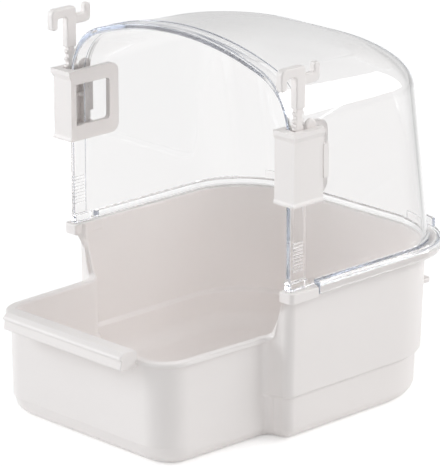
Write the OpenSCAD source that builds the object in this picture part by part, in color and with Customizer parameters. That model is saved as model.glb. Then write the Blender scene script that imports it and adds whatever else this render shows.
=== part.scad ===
// Cage bird bath: a white tray that stands half through the cage door, a clear hood on its rear part, and two
// clips on the hood's front legs, each with an adjustable hook and a springy locking tongue.
// X is the width, -Y the front that goes into the cage, +Z up. The origin is below the middle of the whole bath.

/* [Tray] */
// Width of the front part between its front corners, at the rim
front_w = 101.5; // [85:0.5:110]
// How much wider each side of the front part is at the step than at the front
front_taper = 1.2; // [0:0.1:4]
// Length of the front part, from its front wall to the step
front_l = 55.4; // [45:0.2:80]
// Height of the front part's side rims
front_h = 42.8; // [34:0.2:52]
// How far each side of the rear part stands out from the front part at the step
step_w = 10.05; // [8:0.05:14]
// Length of the rear part, from the step to its back wall
rear_l = 97.7; // [80:0.1:125]
// Height of the rear part's rim
rear_h = 64; // [58:1:80]
// Thickness of the tray's walls
tray_wall = 2.4; // [1.6:0.1:3]
// Thickness of the tray's floor
tray_floor = 2.4; // [1.6:0.1:4]
// Radius of the front part's upright corners
front_r = 13; // [7:0.5:16]
// Radius of the front rim's outer edge at those corners
front_rim_r = 14; // [10:1:24]
// How far the front rim stands out from the front part's walls
front_rim_out = 1.8; // [0.6:0.1:3]
// Height of the front rim
front_rim_h = 3.4; // [2:0.1:6]
// Radius of the rear part's upright back corners
rear_r = 31; // [20:1:36]
// Radius of the rim's outer edge at the back corners
rim_r = 28; // [18:1:32]
// Radius of the hollow corner where the front part meets the step
step_r = 3; // [2:0.5:5]
// Radius round the bottom edge
bottom_r = 5; // [2:0.5:5.5]
// How far the front wall leans out over its height
front_lean = 0.6; // [0:0.1:4]
// How far the front part's side walls lean out over their height
front_side_lean = 0.2; // [0:0.1:2]
// How far the rear part's walls lean out over their height
side_lean = 1.4; // [0:0.1:3]
// Height of the ledge above which the rear part's walls stand further out
ledge_z = 18.4; // [12:0.2:26]
// How far the walls stand out above the ledge
ledge_out = 2.2; // [0.6:0.1:2.6]
// How far the rim of the rear part stands out from its wall
rim_out = 2.2; // [1:0.1:4]
// Height of that rim
rim_h = 3.2; // [2.4:0.1:8]

/* [Tray details] */
// Length of the lip bar across the front wall
lip_l = 68.6; // [50:0.2:78]
// How far the lip bar stands in front of the front wall
lip_out = 8.1; // [5:0.1:12]
// Height of the lip bar
lip_h = 7; // [5:0.1:10]
// How far the lip bar rises above the side rims
lip_up = 3.9; // [1:0.1:5]
// Length of the rim block under each leg of the hood
block_l = 15.4; // [12:0.2:22]
// How far the rim block stands in front of the step
block_front = 2.1; // [1:0.1:8]
// Width of the rim block
block_w = 7.4; // [5:0.1:9]
// Height of the rim block
block_h = 4.5; // [3:0.1:8]
// Width of the shelf on the back wall
shelf_w = 80; // [40:1:90]
// How far the shelf stands out from the back wall
shelf_out = 9.6; // [4:0.1:12]
// Thickness of the shelf
shelf_t = 2; // [1.5:0.1:3]
// Height of the shelf's top above the table
shelf_z = 40; // [30:0.5:50]

/* [Hood] */
// Height of the straight legs above the tray's rim
leg_h = 62; // [50:0.5:76]
// Height of the arch above the straight legs
arch_h = 31.5; // [30.5:0.5:40]
// Radius of the hood's shoulders
shoulder_r = 25; // [20:0.5:30]
// Radius between the roof and the back wall
roof_r = 20; // [12:0.5:26]
// How much lower the roof is at the back than at the front
roof_drop = 10; // [4:0.5:16]
// How far the back wall leans forward over its height
back_lean = 13; // [4:0.5:18]
// Thickness of the hood's sheet
hood_wall = 1.8; // [1.2:0.1:2.1]
// Thickness of the front band, which forms the legs
band_t = 2.5; // [2.5:0.1:3]
// Width of the front band
band_w = 9; // [7:0.5:11]
// Height of each leg's foot
foot_h = 3.5; // [2.5:0.1:5]
// Thickness of the skirt that hangs outside the tray's rim
skirt_t = 1.6; // [1.2:0.1:2.4]
// Height of the skirt
skirt_h = 5.2; // [4:0.1:8]
// Width of each finger tab on the back rim
tab_w = 16; // [8:0.5:20]
// Height of each finger tab
tab_h = 3.5; // [2:0.5:8]
// Distance of each finger tab's middle from the middle of the bath
tab_x = 41; // [20:1:44]
// Number of grip ridges on each leg
ridges = 9; // [3:1:12]
// Distance between grip ridges
ridge_pitch = 1.4; // [1:0.1:2]

/* [Clips] */
// Height of a clip
clip_h = 29.5; // [26:0.5:34]
// How far the clip's top stands above the straight part of the leg
clip_over = 3.4; // [1:0.2:4]
// Wall of the clip behind the tongue's knuckle
cradle_wall = 2.14; // [1.2:0.02:3]
// Thickness of the clip's walls
clip_wall = 2.3; // [1.6:0.1:2.6]
// Length of the window
window_l = 18.4; // [12:0.2:22]
// Width of the window plate behind the window
frame_w = 4.9; // [3:0.1:6]
// Height of the window
window_h = 17.4; // [12:0.2:21]
// How far the collar stands out from the sleeve; the base stands out half as far
collar_out = 0.9; // [0.4:0.1:1.2]
// Height over which the sleeve flares out into the collar
collar_h = 3.6; // [2.5:0.1:4.5]

/* [Hooks] */
// Thickness of the hook's toothed stem
stem_t = 2.3; // [1.8:0.1:2.3]
// Width of the hook's stem
stem_w = 5; // [4:0.1:6.5]
// Distance between teeth
tooth_pitch = 3.1; // [2.4:0.1:4]
// Depth of the teeth
tooth_d = 0.8; // [0.5:0.1:1.2]
// Length of the toothed stem
teeth_l = 34; // [30:0.5:36]
// Height of the hook above its toothed stem
hook_h = 17; // [16:0.5:24]
// Thickness of the hook's bar and arms
hook_t = 3; // [2.6:0.1:4]
// Width of the arms
arm_w = 3.2; // [2.8:0.1:4.5]
// Gap that a cage wire goes into
wire_gap = 4.9; // [3:0.1:6]
// How far the front arm turns down
arm_down = 8.6; // [7:0.1:11]
// How far below the bar's top the rear arm starts
rear_arm_low = 3.7; // [2:0.1:5]
// How far the rear arm's end stands above the bar
rear_arm_up = 0.2; // [0:0.1:3]

/* [Fits] */
// Gap between pieces that slide on or stand in each other
fit = 0.3; // [0.2:0.05:0.3]
// Gap under the hood's flange
seat = 0.2; // [0.1:0.05:0.3]
// Gap round the knuckle that the tongue turns on
pivot_fit = 0.06; // [0.03:0.01:0.1]

/* [Hidden] */
$fn = 48;
white = "#f1eeec";
clear_tint = [0.86, 0.90, 0.94, 0.35];
eps = 0.01;

rear_w = front_w + 2 * (front_taper + step_w);

// Lengthwise places, with the whole bath centred on Y = 0
whole_l = lip_out + front_l + rear_l + shelf_out;
lip_y = -whole_l / 2;
front_y = lip_y + lip_out;
step_y = front_y + front_l;
back_y = step_y + rear_l;

// The legs stand over the rim blocks, with their front face on leg_y
block_y = step_y - block_front;
leg_y = block_y + 1.5;
band_end_y = leg_y + band_w;
skirt_start_y = block_y + block_l + fit;

// Tray outline: straight runs joined by arcs
arc_steps = 8;
small_arc_steps = 4;
step_slant = 1;
front_slope = front_lean / front_h;
front_side_slope = front_side_lean / front_h;
side_slope = side_lean / rear_h;
step_corner_r = 1.8;
inner_r = 3;
opening_in = 2.2;
opening_r = 4;

function arc(c, r, a0, a1, n) =
    [for (i = [0:n]) c + r * [cos(a0 + (a1 - a0) * i / n), sin(a0 + (a1 - a0) * i / n)]];

function mirrored(half) = concat(half, [for (i = [len(half) - 1:-1:0]) [-half[i].x, half[i].y]]);

// Outline of the tray at height z, drawn in by inset; out moves the rear part's walls in or out, front_out the front's
function tray_outline(z, inset, out, front_out) =
    let (
        w_front = front_w / 2 - front_rim_out + front_out - front_side_slope * (front_h - z) - inset,
        w_step = w_front + front_taper,
        y_front = front_y + front_rim_out - front_out + front_slope * (front_h - z) + inset,
        y_step = step_y - out + inset,
        w_rear = rear_w / 2 - side_slope * (rear_h - z) + out - inset,
        y_back = back_y - side_slope * (rear_h - z) + out - inset,
        room = w_rear - w_step,
        r_front = (front_out > 0 ? front_rim_r : front_r) - inset,
        r_hollow = min(step_r + inset, room * 0.6),
        r_step = max(min(step_corner_r - inset, room * 0.35), 0.5),
        r_rear = (out > 0 ? rim_r : rear_r) - inset
    )
    mirrored(concat(
        arc([w_front - r_front, y_front + r_front], r_front, -90, 0, arc_steps),
        arc([w_step + r_hollow, y_step - r_hollow], r_hollow, 180, 90, small_arc_steps),
        arc([w_rear - r_step, y_step + step_slant + r_step], r_step, -90, 0, small_arc_steps),
        arc([w_rear - r_rear, y_back - r_rear], r_rear, 0, 90, arc_steps)
    ));

// A rounded edge at height z0, as pairs of height and inset
function round_edge(z0, r, n) = [for (i = [0:n]) [z0 + r * (1 - cos(90 * i / n)), r * (1 - sin(90 * i / n))]];

function ring(z, inset, out, front_out = 0) = [for (p = tray_outline(z, inset, out, front_out)) [p.x, p.y, z]];

rim_z = rear_h - rim_h;
front_rim_z = front_h - front_rim_h;
round_steps = 3;
tray_rings = concat(
    [for (e = round_edge(0, bottom_r, round_steps)) ring(e[0], e[1], -ledge_out)],
    [
        ring(ledge_z - ledge_out / 2, 0, -ledge_out),
        ring(ledge_z + ledge_out / 2, 0, 0),
        ring(front_rim_z - front_rim_out / 2, 0, 0),
        ring(front_rim_z, 0, 0, front_rim_out),
        ring(rim_z - rim_out / 2, 0, 0, front_rim_out),
        ring(rim_z, 0, rim_out, front_rim_out),
        ring(rear_h, 0, rim_out, front_rim_out),
        ring(rear_h, tray_wall, 0),
        ring(ledge_z + ledge_out / 2, tray_wall, 0),
        ring(ledge_z - ledge_out / 2, tray_wall, -ledge_out)
    ],
    [
        for (i = [round_steps:-1:0])
            let (e = round_edge(tray_floor, inner_r, round_steps)[i])
                ring(e[0], e[1] + tray_wall, -ledge_out)
    ]
);

// A closed solid skinned over rings of equal length, each symmetric about X = 0, with its first and last rings filled
module skin(rings) {
    n = len(rings[0]);
    m = len(rings);
    last = (m - 1) * n;
    sides = [
        for (k = [0:m - 2], i = [0:n - 1])
            let (a = k * n + i, b = k * n + (i + 1) % n)
                each [[a, a + n, b + n], [a, b + n, b]]
    ];
    first_cap = [for (i = [0:n / 2 - 2]) each [[i, i + 1, n - 2 - i], [i, n - 2 - i, n - 1 - i]]];
    last_cap = [
        for (i = [0:n / 2 - 2])
            each [[last + i, last + n - 2 - i, last + i + 1], [last + i, last + n - 1 - i, last + n - 2 - i]]
    ];
    polyhedron(points = [for (r = rings) each r], faces = concat(sides, first_cap, last_cap), convexity = 6);
}

// Opens the front: above the side rims in front of the step, and between the rear walls' front edges at the step
module front_opening() {
    top = rear_h + 1;
    translate([-rear_w, lip_y - 1, front_h])
        cube([2 * rear_w, step_y - rim_out - lip_y + 1 + eps, top - front_h]);
    foot_x = front_w / 2 + front_taper + opening_in;
    head_x = rear_w / 2 - tray_wall - 1;
    rise = 2 * opening_r;
    spread = (head_x - foot_x) / (top - front_h) * rise;
    translate([0, step_y + step_slant + tray_wall + step_r, 0])
        rotate([90, 0, 0])
            linear_extrude(height = rim_out + step_slant + tray_wall + step_r + 2)
                offset(r = opening_r)
                    offset(delta = -opening_r)
                        polygon([
                            [-foot_x, front_h], [foot_x, front_h],
                            [head_x + spread, top + rise], [-head_x - spread, top + rise]
                        ]);
}

lip_z = front_h + lip_up - lip_h;
lip_tier = 1.6;
lip_r = 2.2;

// Lip bar in two tiers: the upper one stands out furthest and has a rounded front edge
module lip() {
    upper_h = lip_h / 2;
    depth = lip_out + 1.2;
    translate([-lip_l / 2, lip_y, lip_z]) {
        translate([0, lip_tier, 0])
            cube([lip_l, depth - lip_tier, upper_h + eps]);
        translate([0, 0, upper_h])
            cube([lip_l, depth, upper_h - lip_r]);
        translate([0, lip_r, upper_h])
            cube([lip_l, depth - lip_r, upper_h]);
        translate([0, lip_r, lip_h - lip_r])
            rotate([0, 90, 0])
                cylinder(r = lip_r, h = lip_l);
    }
}

block_x = rear_w / 2 + rim_out + fit + skirt_t;

module rim_block(side) {
    x = side > 0 ? block_x - block_w : -block_x;
    translate([x, block_y, rear_h - block_h])
        cube([block_w, block_l, block_h]);
}

module shelf() {
    reach = shelf_out + tray_wall / 2 + side_lean;
    translate([-shelf_w / 2, back_y + shelf_out - reach, shelf_z - shelf_t])
        cube([shelf_w, reach, shelf_t]);
}

module tray() {
    color(white) {
        difference() {
            skin(tray_rings);
            front_opening();
        }
        lip();
        rim_block(1);
        rim_block(-1);
        shelf();
    }
}

// Hood: every level of its surface is a U in plan, from a front edge round the back; levels climb the legs, turn
// over the shoulders and meet along the crown
hood_z = rear_h + seat;
hood_h = leg_h + arch_h;
band_x = rear_w / 2 + 1.3;
band_proud = band_t - hood_wall - 0.2;
sheet_x = band_x - band_proud;
sheet_start_y = leg_y + 1;
hood_back_y = back_y + 1;
arch_steps = 7;
crown_steps = 5;
side_steps = 8;

function crown_r(w, r, rise) = (w * w - 2 * w * r + rise * rise) / (2 * (rise - r));

// Points of half an arch, from the foot of a leg to the crown: half width, height, and tilt of the surface
function half_arch(w, r, leg, rise) =
    let (
        big = crown_r(w, r, rise),
        turn = acos((w - r) / (big - r)),
        shoulder = [for (i = [0:arch_steps]) turn * i / arch_steps],
        crown = [for (i = [1:crown_steps]) turn + (90 - turn) * i / crown_steps]
    )
    concat(
        [[w, 0, 0]],
        [for (a = shoulder) [w - r + r * cos(a), leg + r * sin(a), a]],
        [for (a = crown) [big * cos(a), leg + rise - big + big * sin(a), a]]
    );

// Half of one level of the hood, from its front edge to the middle of the back
function hood_level(p, t) =
    let (
        r = roof_r - t,
        wall_tilt = atan(back_lean / (hood_h - roof_drop)),
        zc = hood_h - roof_drop - roof_r,
        yc = hood_back_y - zc * tan(wall_tilt) - roof_r / cos(wall_tilt),
        // The roof's line from the front runs into the back rounding without a kink
        across = yc - sheet_start_y,
        down = hood_h - band_proud - zc,
        roof_tilt = acos(-roof_r / norm([across, down])) - atan(down / across),
        a = wall_tilt + (roof_tilt - wall_tilt) * p[2] / 90,
        on_leg = p[1] == 0,
        y_back = on_leg ? hood_back_y - t / cos(wall_tilt) : yc + r * cos(a),
        z_back = on_leg ? 0 : zc + r * sin(a),
        ry = rear_r - t,
        rx = min(ry, 0.8 * p[0]),
        plan = concat(
            [[p[0], sheet_start_y]],
            [for (q = arc([0, 0], 1, 0, 90, side_steps)) [p[0] - rx + rx * q.x, y_back - ry + ry * q.y]],
            [[0, y_back]]
        )
    )
    [
        for (q = plan)
            [q.x, q.y, hood_z + p[1] + (z_back - p[1]) * (q.y - sheet_start_y) / (y_back - sheet_start_y)]
    ];

function hood_levels(t) = [
    for (p = half_arch(sheet_x - t, shoulder_r - band_proud - t, leg_h, hood_h - leg_h - band_proud - t))
        hood_level(p, t)
];

// One closed sheet: the outer and inner surfaces, joined along the front edge and round the bottom
module hood_sheet() {
    outer = hood_levels(0);
    inner = hood_levels(hood_wall);
    m = len(outer);
    n = len(outer[0]);
    half = m * n;
    flip = function(p) [-p.x, p.y, p.z];
    points = concat(
        [for (l = outer) each l], [for (l = outer, p = l) flip(p)],
        [for (l = inner) each l], [for (l = inner, p = l) flip(p)]
    );
    // Place of a point: skin 0 is outer and 1 inner; the mirrored half shares the crown and the middle of the back,
    // and the crown's line ends one point short of the other levels
    place = function(skin, side, k, j)
        (2 * skin + ((side == 1 && k < m - 1 && j < n - 1) ? 1 : 0)) * half
            + k * n + (k == m - 1 && j == n - 1 ? j - 1 : j);
    quad = function(a, b, c, d, turned) [
        for (f = turned ? [[a, c, b], [a, d, c]] : [[a, b, c], [a, c, d]])
            if (f[0] != f[1] && f[1] != f[2] && f[0] != f[2]) f
    ];
    sheet_faces = [
        for (skin = [0, 1], side = [0, 1], k = [0:m - 2], j = [0:n - 2])
            each quad(
                place(skin, side, k, j), place(skin, side, k + 1, j),
                place(skin, side, k + 1, j + 1), place(skin, side, k, j + 1), (skin + side) % 2 == 1)
    ];
    front_faces = [
        for (side = [0, 1], k = [0:m - 2])
            each quad(
                place(0, side, k, 0), place(1, side, k, 0),
                place(1, side, k + 1, 0), place(0, side, k + 1, 0), side == 1)
    ];
    bottom_faces = [
        for (side = [0, 1], j = [0:n - 2])
            each quad(
                place(0, side, 0, j), place(0, side, 0, j + 1),
                place(1, side, 0, j + 1), place(1, side, 0, j), side == 1)
    ];
    polyhedron(points = points, faces = concat(sheet_faces, front_faces, bottom_faces), convexity = 6);
}

// Filled arch, drawn in by t
module arch_shape(t) {
    w = band_x - t;
    r = shoulder_r - t;
    rise = hood_h - leg_h - t;
    big = crown_r(w, r, rise);
    turn = acos((w - r) / (big - r));
    translate([-w, -1])
        square([2 * w, leg_h + 1]);
    for (s = [-1, 1])
        intersection() {
            translate([s * (w - r), leg_h])
                circle(r = r);
            translate([s > 0 ? w - r : -w, leg_h - eps])
                square([r, rise]);
        }
    intersection() {
        translate([0, leg_h + rise - big])
            circle(r = big, $fn = 200);
        translate([-(w - r + r * cos(turn)), leg_h - eps])
            square([2 * (w - r + r * cos(turn)), rise + 1]);
    }
}

module band() {
    translate([0, band_end_y, hood_z])
        rotate([90, 0, 0])
            linear_extrude(height = band_w)
                intersection() {
                    difference() {
                        arch_shape(0);
                        arch_shape(band_t);
                    }
                    translate([-band_x - 1, 0])
                        square([2 * band_x + 2, hood_h + 1]);
                }
}

// Plan of a U that is open at the front, from y0 back to y1
module u_plan(w, y0, y1, r) {
    translate([-w, y0])
        square([2 * w, y1 - r - y0]);
    translate([-w + r, y0])
        square([2 * (w - r), y1 - y0]);
    for (s = [-1, 1])
        translate([s * (w - r), y1 - r])
            circle(r = r);
}

skirt_in = rear_w / 2 + rim_out + fit;
skirt_out = skirt_in + skirt_t;
skirt_back = back_y + rim_out + fit + skirt_t;
flange_t = 1.8;

// Outer plan of the skirt, from y0 back, drawn in by t
module skirt_plan(t, y0) {
    u_plan(skirt_out - t, y0, skirt_back - t, rim_r + fit + skirt_t - t);
}

ridge_d = 0.2;
ridge_t = 0.6;
ridge_l = 5;
ridge_up = 4;

module leg_ridges() {
    for (s = [-1, 1], i = [0:ridges - 1])
        translate([s * band_x - (s > 0 ? eps : ridge_d), leg_y + 0.3, hood_z + foot_h + ridge_up + i * ridge_pitch])
            cube([ridge_d + eps, ridge_l, ridge_t]);
}

// The foot at the end of a leg stands out from it on both sides
foot_out = 0.6;

module foot(side) {
    x = side > 0 ? band_x - band_t - foot_out : -band_x - foot_out;
    translate([x, leg_y, hood_z])
        cube([band_t + 2 * foot_out, band_w + foot_out, foot_h]);
}

// A finger tab stands on the rim's edge and follows its curve
module tab(side) {
    translate([0, 0, hood_z + flange_t - eps])
        linear_extrude(height = tab_h + eps)
            intersection() {
                difference() {
                    skirt_plan(0, skirt_start_y);
                    skirt_plan(skirt_t, skirt_start_y - 1);
                }
                translate([side * tab_x - tab_w / 2, hood_back_y - rear_r])
                    square([tab_w, 2 * rear_r]);
            }
}

module hood() {
    color(clear_tint) {
        hood_sheet();
        band();
        leg_ridges();
        foot(1);
        foot(-1);
        translate([0, 0, hood_z])
            linear_extrude(height = flange_t)
                difference() {
                    skirt_plan(0, skirt_start_y);
                    u_plan(sheet_x - hood_wall / 2, leg_y, hood_back_y - hood_wall, rear_r - hood_wall / 2);
                }
        translate([0, 0, hood_z + flange_t - skirt_h])
            linear_extrude(height = skirt_h)
                difference() {
                    skirt_plan(0, skirt_start_y);
                    skirt_plan(skirt_t, skirt_start_y - 1);
                }
        tab(1);
        tab(-1);
    }
}

// Clip, drawn for the right leg: an outer sleeve with the hook's channel, a front wall, and an inner window plate
clip_z = hood_z + leg_h + clip_over - clip_h;
clip_front_y = leg_y - 3.5;
slot_in = band_x - band_t - fit;
slot_out = band_x + fit;
channel_out = slot_out + stem_t + 2 * fit;
clip_in = slot_in - clip_wall;
clip_out = channel_out + clip_wall;
stem_y = leg_y - 0.4;
stem_x = slot_out + fit;
collar_edge = 1.8;
base_edge = 0.8;
plate_r = 4;
window_r = 1.5;
window_y = clip_front_y + 2.7;
plate_l = 2.7 + window_l + frame_w;
window_z = (clip_h - window_h) / 2 + 0.2;
pad_l = 2.6;
pad_h = 13.5;
knuckle_r = 1.5;
knuckle_y = stem_y + stem_w + 4.2;
knuckle_z = clip_z + 3.4;
cradle_h = 5.4;
sleeve_end_y = knuckle_y + knuckle_r + pivot_fit + cradle_wall;

module box(x0, x1, y0, y1, z0, z1) {
    translate([x0, y0, z0])
        cube([x1 - x0, y1 - y0, z1 - z0]);
}

// Outer form of the sleeve, whose front and outer faces flare out at the base and at the collar
module sleeve() {
    flare = [
        [collar_out / 2, 0], [collar_out / 2, base_edge], [0, base_edge + collar_out],
        [0, clip_h - collar_h], [collar_out, clip_h - collar_edge], [collar_out, clip_h]
    ];
    intersection() {
        translate([clip_in, 0, clip_z])
            rotate([90, 0, 90])
                linear_extrude(height = clip_out + 2 * collar_out - clip_in)
                    polygon(concat(
                        [for (f = flare) [clip_front_y - f[0], f[1]]],
                        [[sleeve_end_y, clip_h], [sleeve_end_y, 0]]
                    ));
        translate([0, sleeve_end_y, clip_z])
            rotate([90, 0, 0])
                linear_extrude(height = sleeve_end_y - clip_front_y + 2 * collar_out)
                    polygon(concat([for (f = flare) [clip_out + f[0], f[1]]], [[clip_in, clip_h], [clip_in, 0]]));
    }
}

// Plate in the Y-Z plane with its two rear corners rounded
module window_plate() {
    translate([clip_in, clip_front_y, clip_z])
        rotate([90, 0, 90])
            linear_extrude(height = clip_wall)
                difference() {
                    union() {
                        square([plate_l - plate_r, clip_h]);
                        translate([0, plate_r])
                            square([plate_l, clip_h - 2 * plate_r]);
                        for (z = [plate_r, clip_h - plate_r])
                            translate([plate_l - plate_r, z])
                                circle(r = plate_r);
                    }
                    translate([window_y - clip_front_y, window_z])
                        square([window_l - window_r, window_h]);
                    translate([window_y - clip_front_y, window_z + window_r])
                        square([window_l, window_h - 2 * window_r]);
                    for (z = [window_r, window_h - window_r])
                        translate([window_y - clip_front_y + window_l - window_r, window_z + z])
                            circle(r = window_r);
                }
}

module clip() {
    top = clip_z + clip_h;
    window_plate();
    difference() {
        union() {
            sleeve();
            box(channel_out, clip_out + 0.4, sleeve_end_y - eps, sleeve_end_y + pad_l, clip_z + 9, clip_z + 9 + pad_h);
        }
        // Slot for the leg, open to the rear
        box(slot_in, slot_out + eps, leg_y - fit, sleeve_end_y + 1, clip_z - 1, top + 1);
        // Window through the inner wall of the sleeve
        box(clip_in - 1, slot_in + 1, window_y, sleeve_end_y + 1, clip_z + window_z, clip_z + window_z + window_h);
        // Channel for the hook's stem and the tongue behind it
        box(slot_out, channel_out, stem_y - fit, sleeve_end_y + 1, clip_z + cradle_h, top + 1);
        box(slot_out, channel_out, stem_y - fit, stem_y + stem_w + fit, clip_z - 1, top + 1);
        // Cradle for the tongue's knuckle, open upwards
        translate([slot_out - eps, knuckle_y, knuckle_z])
            rotate([0, 90, 0])
                cylinder(r = knuckle_r + pivot_fit, h = channel_out - slot_out + 2 * eps);
        box(slot_out, channel_out, knuckle_y - knuckle_r - pivot_fit, knuckle_y + knuckle_r + pivot_fit, knuckle_z, top);
    }
}

// Hook, drawn for the right clip: a toothed stem below, a bar with a front arm turned down and a rear arm turned up
stem_z = clip_z + 4;
hook_z = stem_z + teeth_l;
hook_top = hook_z + hook_h;
bar_h = 4;

module stem_teeth() {
    count = floor(teeth_l / tooth_pitch);
    core = stem_w - 2 * tooth_d;
    box(stem_x, stem_x + stem_t, stem_y + tooth_d, stem_y + tooth_d + core, stem_z, hook_z + eps);
    for (i = [0:count - 1])
        translate([stem_x, stem_y, stem_z + i * tooth_pitch])
            rotate([90, 0, 90])
                linear_extrude(height = stem_t)
                    polygon([
                        [tooth_d + eps, 0], [0, tooth_pitch * 0.3], [0, tooth_pitch * 0.6], [tooth_d + eps, tooth_pitch * 0.8],
                        [tooth_d + core - eps, tooth_pitch * 0.8], [stem_w, tooth_pitch * 0.6], [stem_w, tooth_pitch * 0.3],
                        [tooth_d + core - eps, 0]
                    ]);
}

module hook() {
    x0 = stem_x + stem_t / 2 - hook_t / 2;
    x1 = x0 + hook_t;
    arm_y = stem_y - wire_gap - arm_w;
    rear_y = stem_y + stem_w + wire_gap + arm_w;
    stem_teeth();
    box(x0, x1, stem_y, stem_y + stem_w, hook_z, hook_top);
    box(x0, x1, arm_y, stem_y + eps, hook_top - bar_h, hook_top);
    box(x0, x1, arm_y, arm_y + arm_w, hook_top - arm_down, hook_top);
    box(x0, x1, stem_y + stem_w - eps, rear_y, hook_top - rear_arm_low - bar_h, hook_top - rear_arm_low);
    box(x0, x1, rear_y - arm_w, rear_y, hook_top - rear_arm_low - bar_h, hook_top + rear_arm_up);
}

// Tongue, drawn for the right clip: it turns on its knuckle, carries a ridge halfway up and a thumb nub on top
tongue_t = 2.6;
tongue_top = clip_z + clip_h + 0.4;
nub_r = 3;
ridge_z = clip_z + 16;

module tongue() {
    x0 = slot_out + fit;
    front_face_y = knuckle_y - tongue_t / 2;
    translate([x0, knuckle_y, knuckle_z])
        rotate([0, 90, 0])
            cylinder(r = knuckle_r, h = stem_t);
    box(x0, x0 + stem_t, front_face_y, front_face_y + tongue_t, knuckle_z, tongue_top + nub_r / 2);
    box(x0, x0 + stem_t, front_face_y, front_face_y + tongue_t + 1.2, ridge_z, ridge_z + 3.4);
    box(x0, x0 + stem_t, stem_y + stem_w + fit, front_face_y + eps, ridge_z + 0.8, ridge_z + 2.2);
    intersection() {
        translate([x0, knuckle_y, tongue_top])
            rotate([0, 90, 0])
                cylinder(r = nub_r, h = stem_t);
        box(x0 - 1, x0 + stem_t + 1, knuckle_y - nub_r, knuckle_y + nub_r, tongue_top, tongue_top + nub_r);
    }
}

module left_clip() { color(white) mirror([1, 0, 0]) clip(); }
module right_clip() { color(white) clip(); }
module left_hook() { color(white) mirror([1, 0, 0]) hook(); }
module right_hook() { color(white) hook(); }
module left_tongue() { color(white) mirror([1, 0, 0]) tongue(); }
module right_tongue() { color(white) tongue(); }

tray();
hood();
left_clip();
right_clip();
left_hook();
right_hook();
left_tongue();
right_tongue();
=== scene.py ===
"""Cage bird bath: the looks of its white tray, clear hood, leg clips, hooks and locking tongues."""
from math import acos, asin, atan, cos, hypot, pi, radians, sin, tan

import bmesh
import bpy
import numpy as np
from bpy.props import FloatProperty, FloatVectorProperty, IntProperty, PointerProperty
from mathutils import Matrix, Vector


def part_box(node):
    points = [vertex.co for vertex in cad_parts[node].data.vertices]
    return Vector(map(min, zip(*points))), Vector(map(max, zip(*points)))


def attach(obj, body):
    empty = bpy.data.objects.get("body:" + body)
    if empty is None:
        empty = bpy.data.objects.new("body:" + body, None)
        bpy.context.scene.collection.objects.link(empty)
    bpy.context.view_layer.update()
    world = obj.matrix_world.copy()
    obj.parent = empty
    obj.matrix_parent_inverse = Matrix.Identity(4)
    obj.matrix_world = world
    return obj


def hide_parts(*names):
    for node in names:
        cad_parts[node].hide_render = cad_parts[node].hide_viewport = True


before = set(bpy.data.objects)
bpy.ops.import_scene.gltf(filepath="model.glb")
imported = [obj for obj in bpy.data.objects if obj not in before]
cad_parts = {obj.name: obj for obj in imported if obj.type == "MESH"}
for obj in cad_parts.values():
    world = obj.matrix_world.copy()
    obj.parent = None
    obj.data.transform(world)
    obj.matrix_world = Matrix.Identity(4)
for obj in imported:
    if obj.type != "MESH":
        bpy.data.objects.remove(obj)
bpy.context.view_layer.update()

bl_info = {
    "name": "Cage bird bath",
    "version": (1, 0, 0),
    "blender": (4, 5, 0),
    "location": "3D View > Sidebar > Bird bath",
    "description": "Builds a cage bird bath: tray, clear hood, leg clips, toothed hooks and locking tongues",
    "category": "Add Mesh",
}

TRAY_LOW, TRAY_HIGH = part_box("tray")
HOOD_LOW, HOOD_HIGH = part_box("hood")
HOOK_LOW, HOOK_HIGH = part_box("right_hook")
TONGUE_LOW, TONGUE_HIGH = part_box("right_tongue")

# Height at which the clear sheet starts, just above the tray's rim
HOOD_Z = TRAY_HIGH.z + 0.0002
# Points nearer to each other than this are merged
MERGE = 1e-7
# Edges between joined pieces stay sharp where they turn by more than this
SHARP = radians(40)


# Settings

def size(name, about, default):
    """A length in metres that a user may change."""
    return FloatProperty(name=name, description=about, default=default, min=0.0, unit="LENGTH", precision=4)


def colour(name, about, default):
    """A colour that a user may change."""
    return FloatVectorProperty(name=name, description=about, default=default, min=0.0, max=1.0,
                               subtype="COLOR")


def share(name, about, default):
    """A number from 0 to 1 that a user may change."""
    return FloatProperty(name=name, description=about, default=default, min=0.0, max=1.0, subtype="FACTOR")


def level(name, about, default):
    """A number from 0 up that a user may change."""
    return FloatProperty(name=name, description=about, default=default, min=0.0)


def angle(name, about, degrees):
    """An angle that a user may change, given here in degrees."""
    return FloatProperty(name=name, description=about, default=radians(degrees), subtype="ANGLE")


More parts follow.
